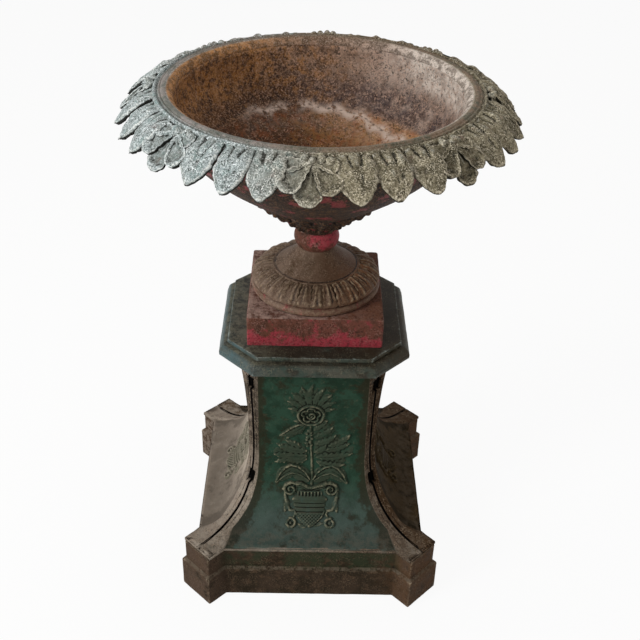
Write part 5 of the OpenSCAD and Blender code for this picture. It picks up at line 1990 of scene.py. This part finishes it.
class UrnLeafRim(bpy.types.Operator):
    """Build the lip and the pointed and fan leaves that hang from it"""

    bl_idname = "urn.leaf_rim"
    bl_label = "Leaf rim"

    def execute(self, context):
        scene = context.scene
        rim = scene.urn_rim
        thick = rim.leaf_thick * 1000
        lip = cast_piece("lip", lip_shell())
        lip_crust = patina(scene.urn_paints, "Patina of the lip")
        crust = patina(scene.urn_paints, "Patina of the leaves")
        sector = 2 * math.pi / rim.fan_count
        fan = sector * rim.fan_share
        step = (sector - fan) / rim.pointed_count
        pointed = make_ring(
            "pointed_leaves", [[pointed_leaf(k, thick)] for k in range(3)],
            count=rim.fan_count * rim.pointed_count, group=rim.pointed_count, group_turn=sector,
            first_turn=rim.turn + fan / 2 + step / 2, step_turn=step, turn_play=math.radians(0.7),
            seed=11, lump_depth=0.003, lump_size=0.017, material=crust,
        )
        fans = make_ring(
            "fan_leaves", [fan_leaf(thick)], count=rim.fan_count, group=1, group_turn=sector,
            first_turn=rim.turn, step_turn=0.0, turn_play=math.radians(0.3), seed=12,
            lump_depth=0.0016, lump_size=0.018, material=crust,
        )
        for piece, coat, seed, pits, rounds in (
            (lip, lip_crust, 10.0, 1.2, 5), (pointed, crust, 11.0, 2.6, 16), (fans, crust, 12.0, 2.6, 16),
        ):
            finish_piece(piece, coat, "urn", "leaf_rim", seed, pits, rounds)
        return {"FINISHED"}


class UrnFasteners(bpy.types.Operator):
    """Give the bolts, nuts, screws, washers and tie rod their iron"""

    bl_idname = "urn.fasteners"
    bl_label = "Fasteners"

    def execute(self, context):
        iron = fastener_iron()
        for name in FASTENERS:
            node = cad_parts[name]
            node.data.materials.clear()
            node.data.materials.append(iron)
        return {"FINISHED"}


class UrnStage(bpy.types.Operator):
    """Build the floor, the soft lights and the camera"""

    bl_idname = "urn.stage"
    bl_label = "Studio"

    def execute(self, context):
        scene = context.scene
        studio = scene.urn_studio
        studio_floor(studio)
        scene.world = studio_sky(studio)
        for lamp in (
            soft_lamp("Key lamp", studio.key, (0.94, 0.97, 1.0), (-2.6, -1.9, 1.95), 1.4),
            soft_lamp("Fill lamp", studio.fill, (1.0, 0.93, 0.84), (2.4, -1.7, 1.3), 1.5),
            soft_lamp("Top lamp", studio.top, (1.0, 1.0, 1.0), (0.1, 0.4, 3.0), 1.8),
        ):
            scene.collection.objects.link(lamp)
        scene.camera = photo_camera()
        scene.collection.objects.link(scene.camera)
        scene.view_settings.view_transform = "Standard"
        return {"FINISHED"}


OPERATORS = (
    UrnBase, UrnPanels, UrnCap, UrnFoot, UrnKnop, UrnBowl, UrnLeafRim, UrnFasteners, UrnStage,
)
SETTINGS = {
    "urn_pedestal": UrnPedestalSizes, "urn_rim": UrnRimSizes, "urn_skin": UrnCastSkin,
    "urn_paints": UrnPaints, "urn_studio": UrnStudio,
}


class UrnPanelList(bpy.types.Panel):
    """Lists the settings and the steps of the urn"""

    bl_idname = "VIEW3D_PT_garden_urn"
    bl_label = "Garden Urn"
    bl_space_type = "VIEW_3D"
    bl_region_type = "UI"
    bl_category = "Garden Urn"

    def draw(self, context):
        for key, group in SETTINGS.items():
            box = self.layout.box()
            box.label(text=group.__doc__)
            for name in group.__annotations__:
                box.prop(getattr(context.scene, key), name)
        for step in OPERATORS:
            self.layout.operator(step.bl_idname)


def register():
    for group in SETTINGS.values():
        bpy.utils.register_class(group)
    for key, group in SETTINGS.items():
        setattr(bpy.types.Scene, key, PointerProperty(type=group))
    for step in OPERATORS:
        bpy.utils.register_class(step)
    bpy.utils.register_class(UrnPanelList)


def unregister():
    bpy.utils.unregister_class(UrnPanelList)
    for step in reversed(OPERATORS):
        bpy.utils.unregister_class(step)
    for key in SETTINGS:
        delattr(bpy.types.Scene, key)
    for group in SETTINGS.values():
        bpy.utils.unregister_class(group)


def main():
    """Builds the urn step by step."""
    register()
    for step in OPERATORS:
        family, name = step.bl_idname.split(".")
        getattr(getattr(bpy.ops, family), name)()


if __name__ == "__main__":
    main()
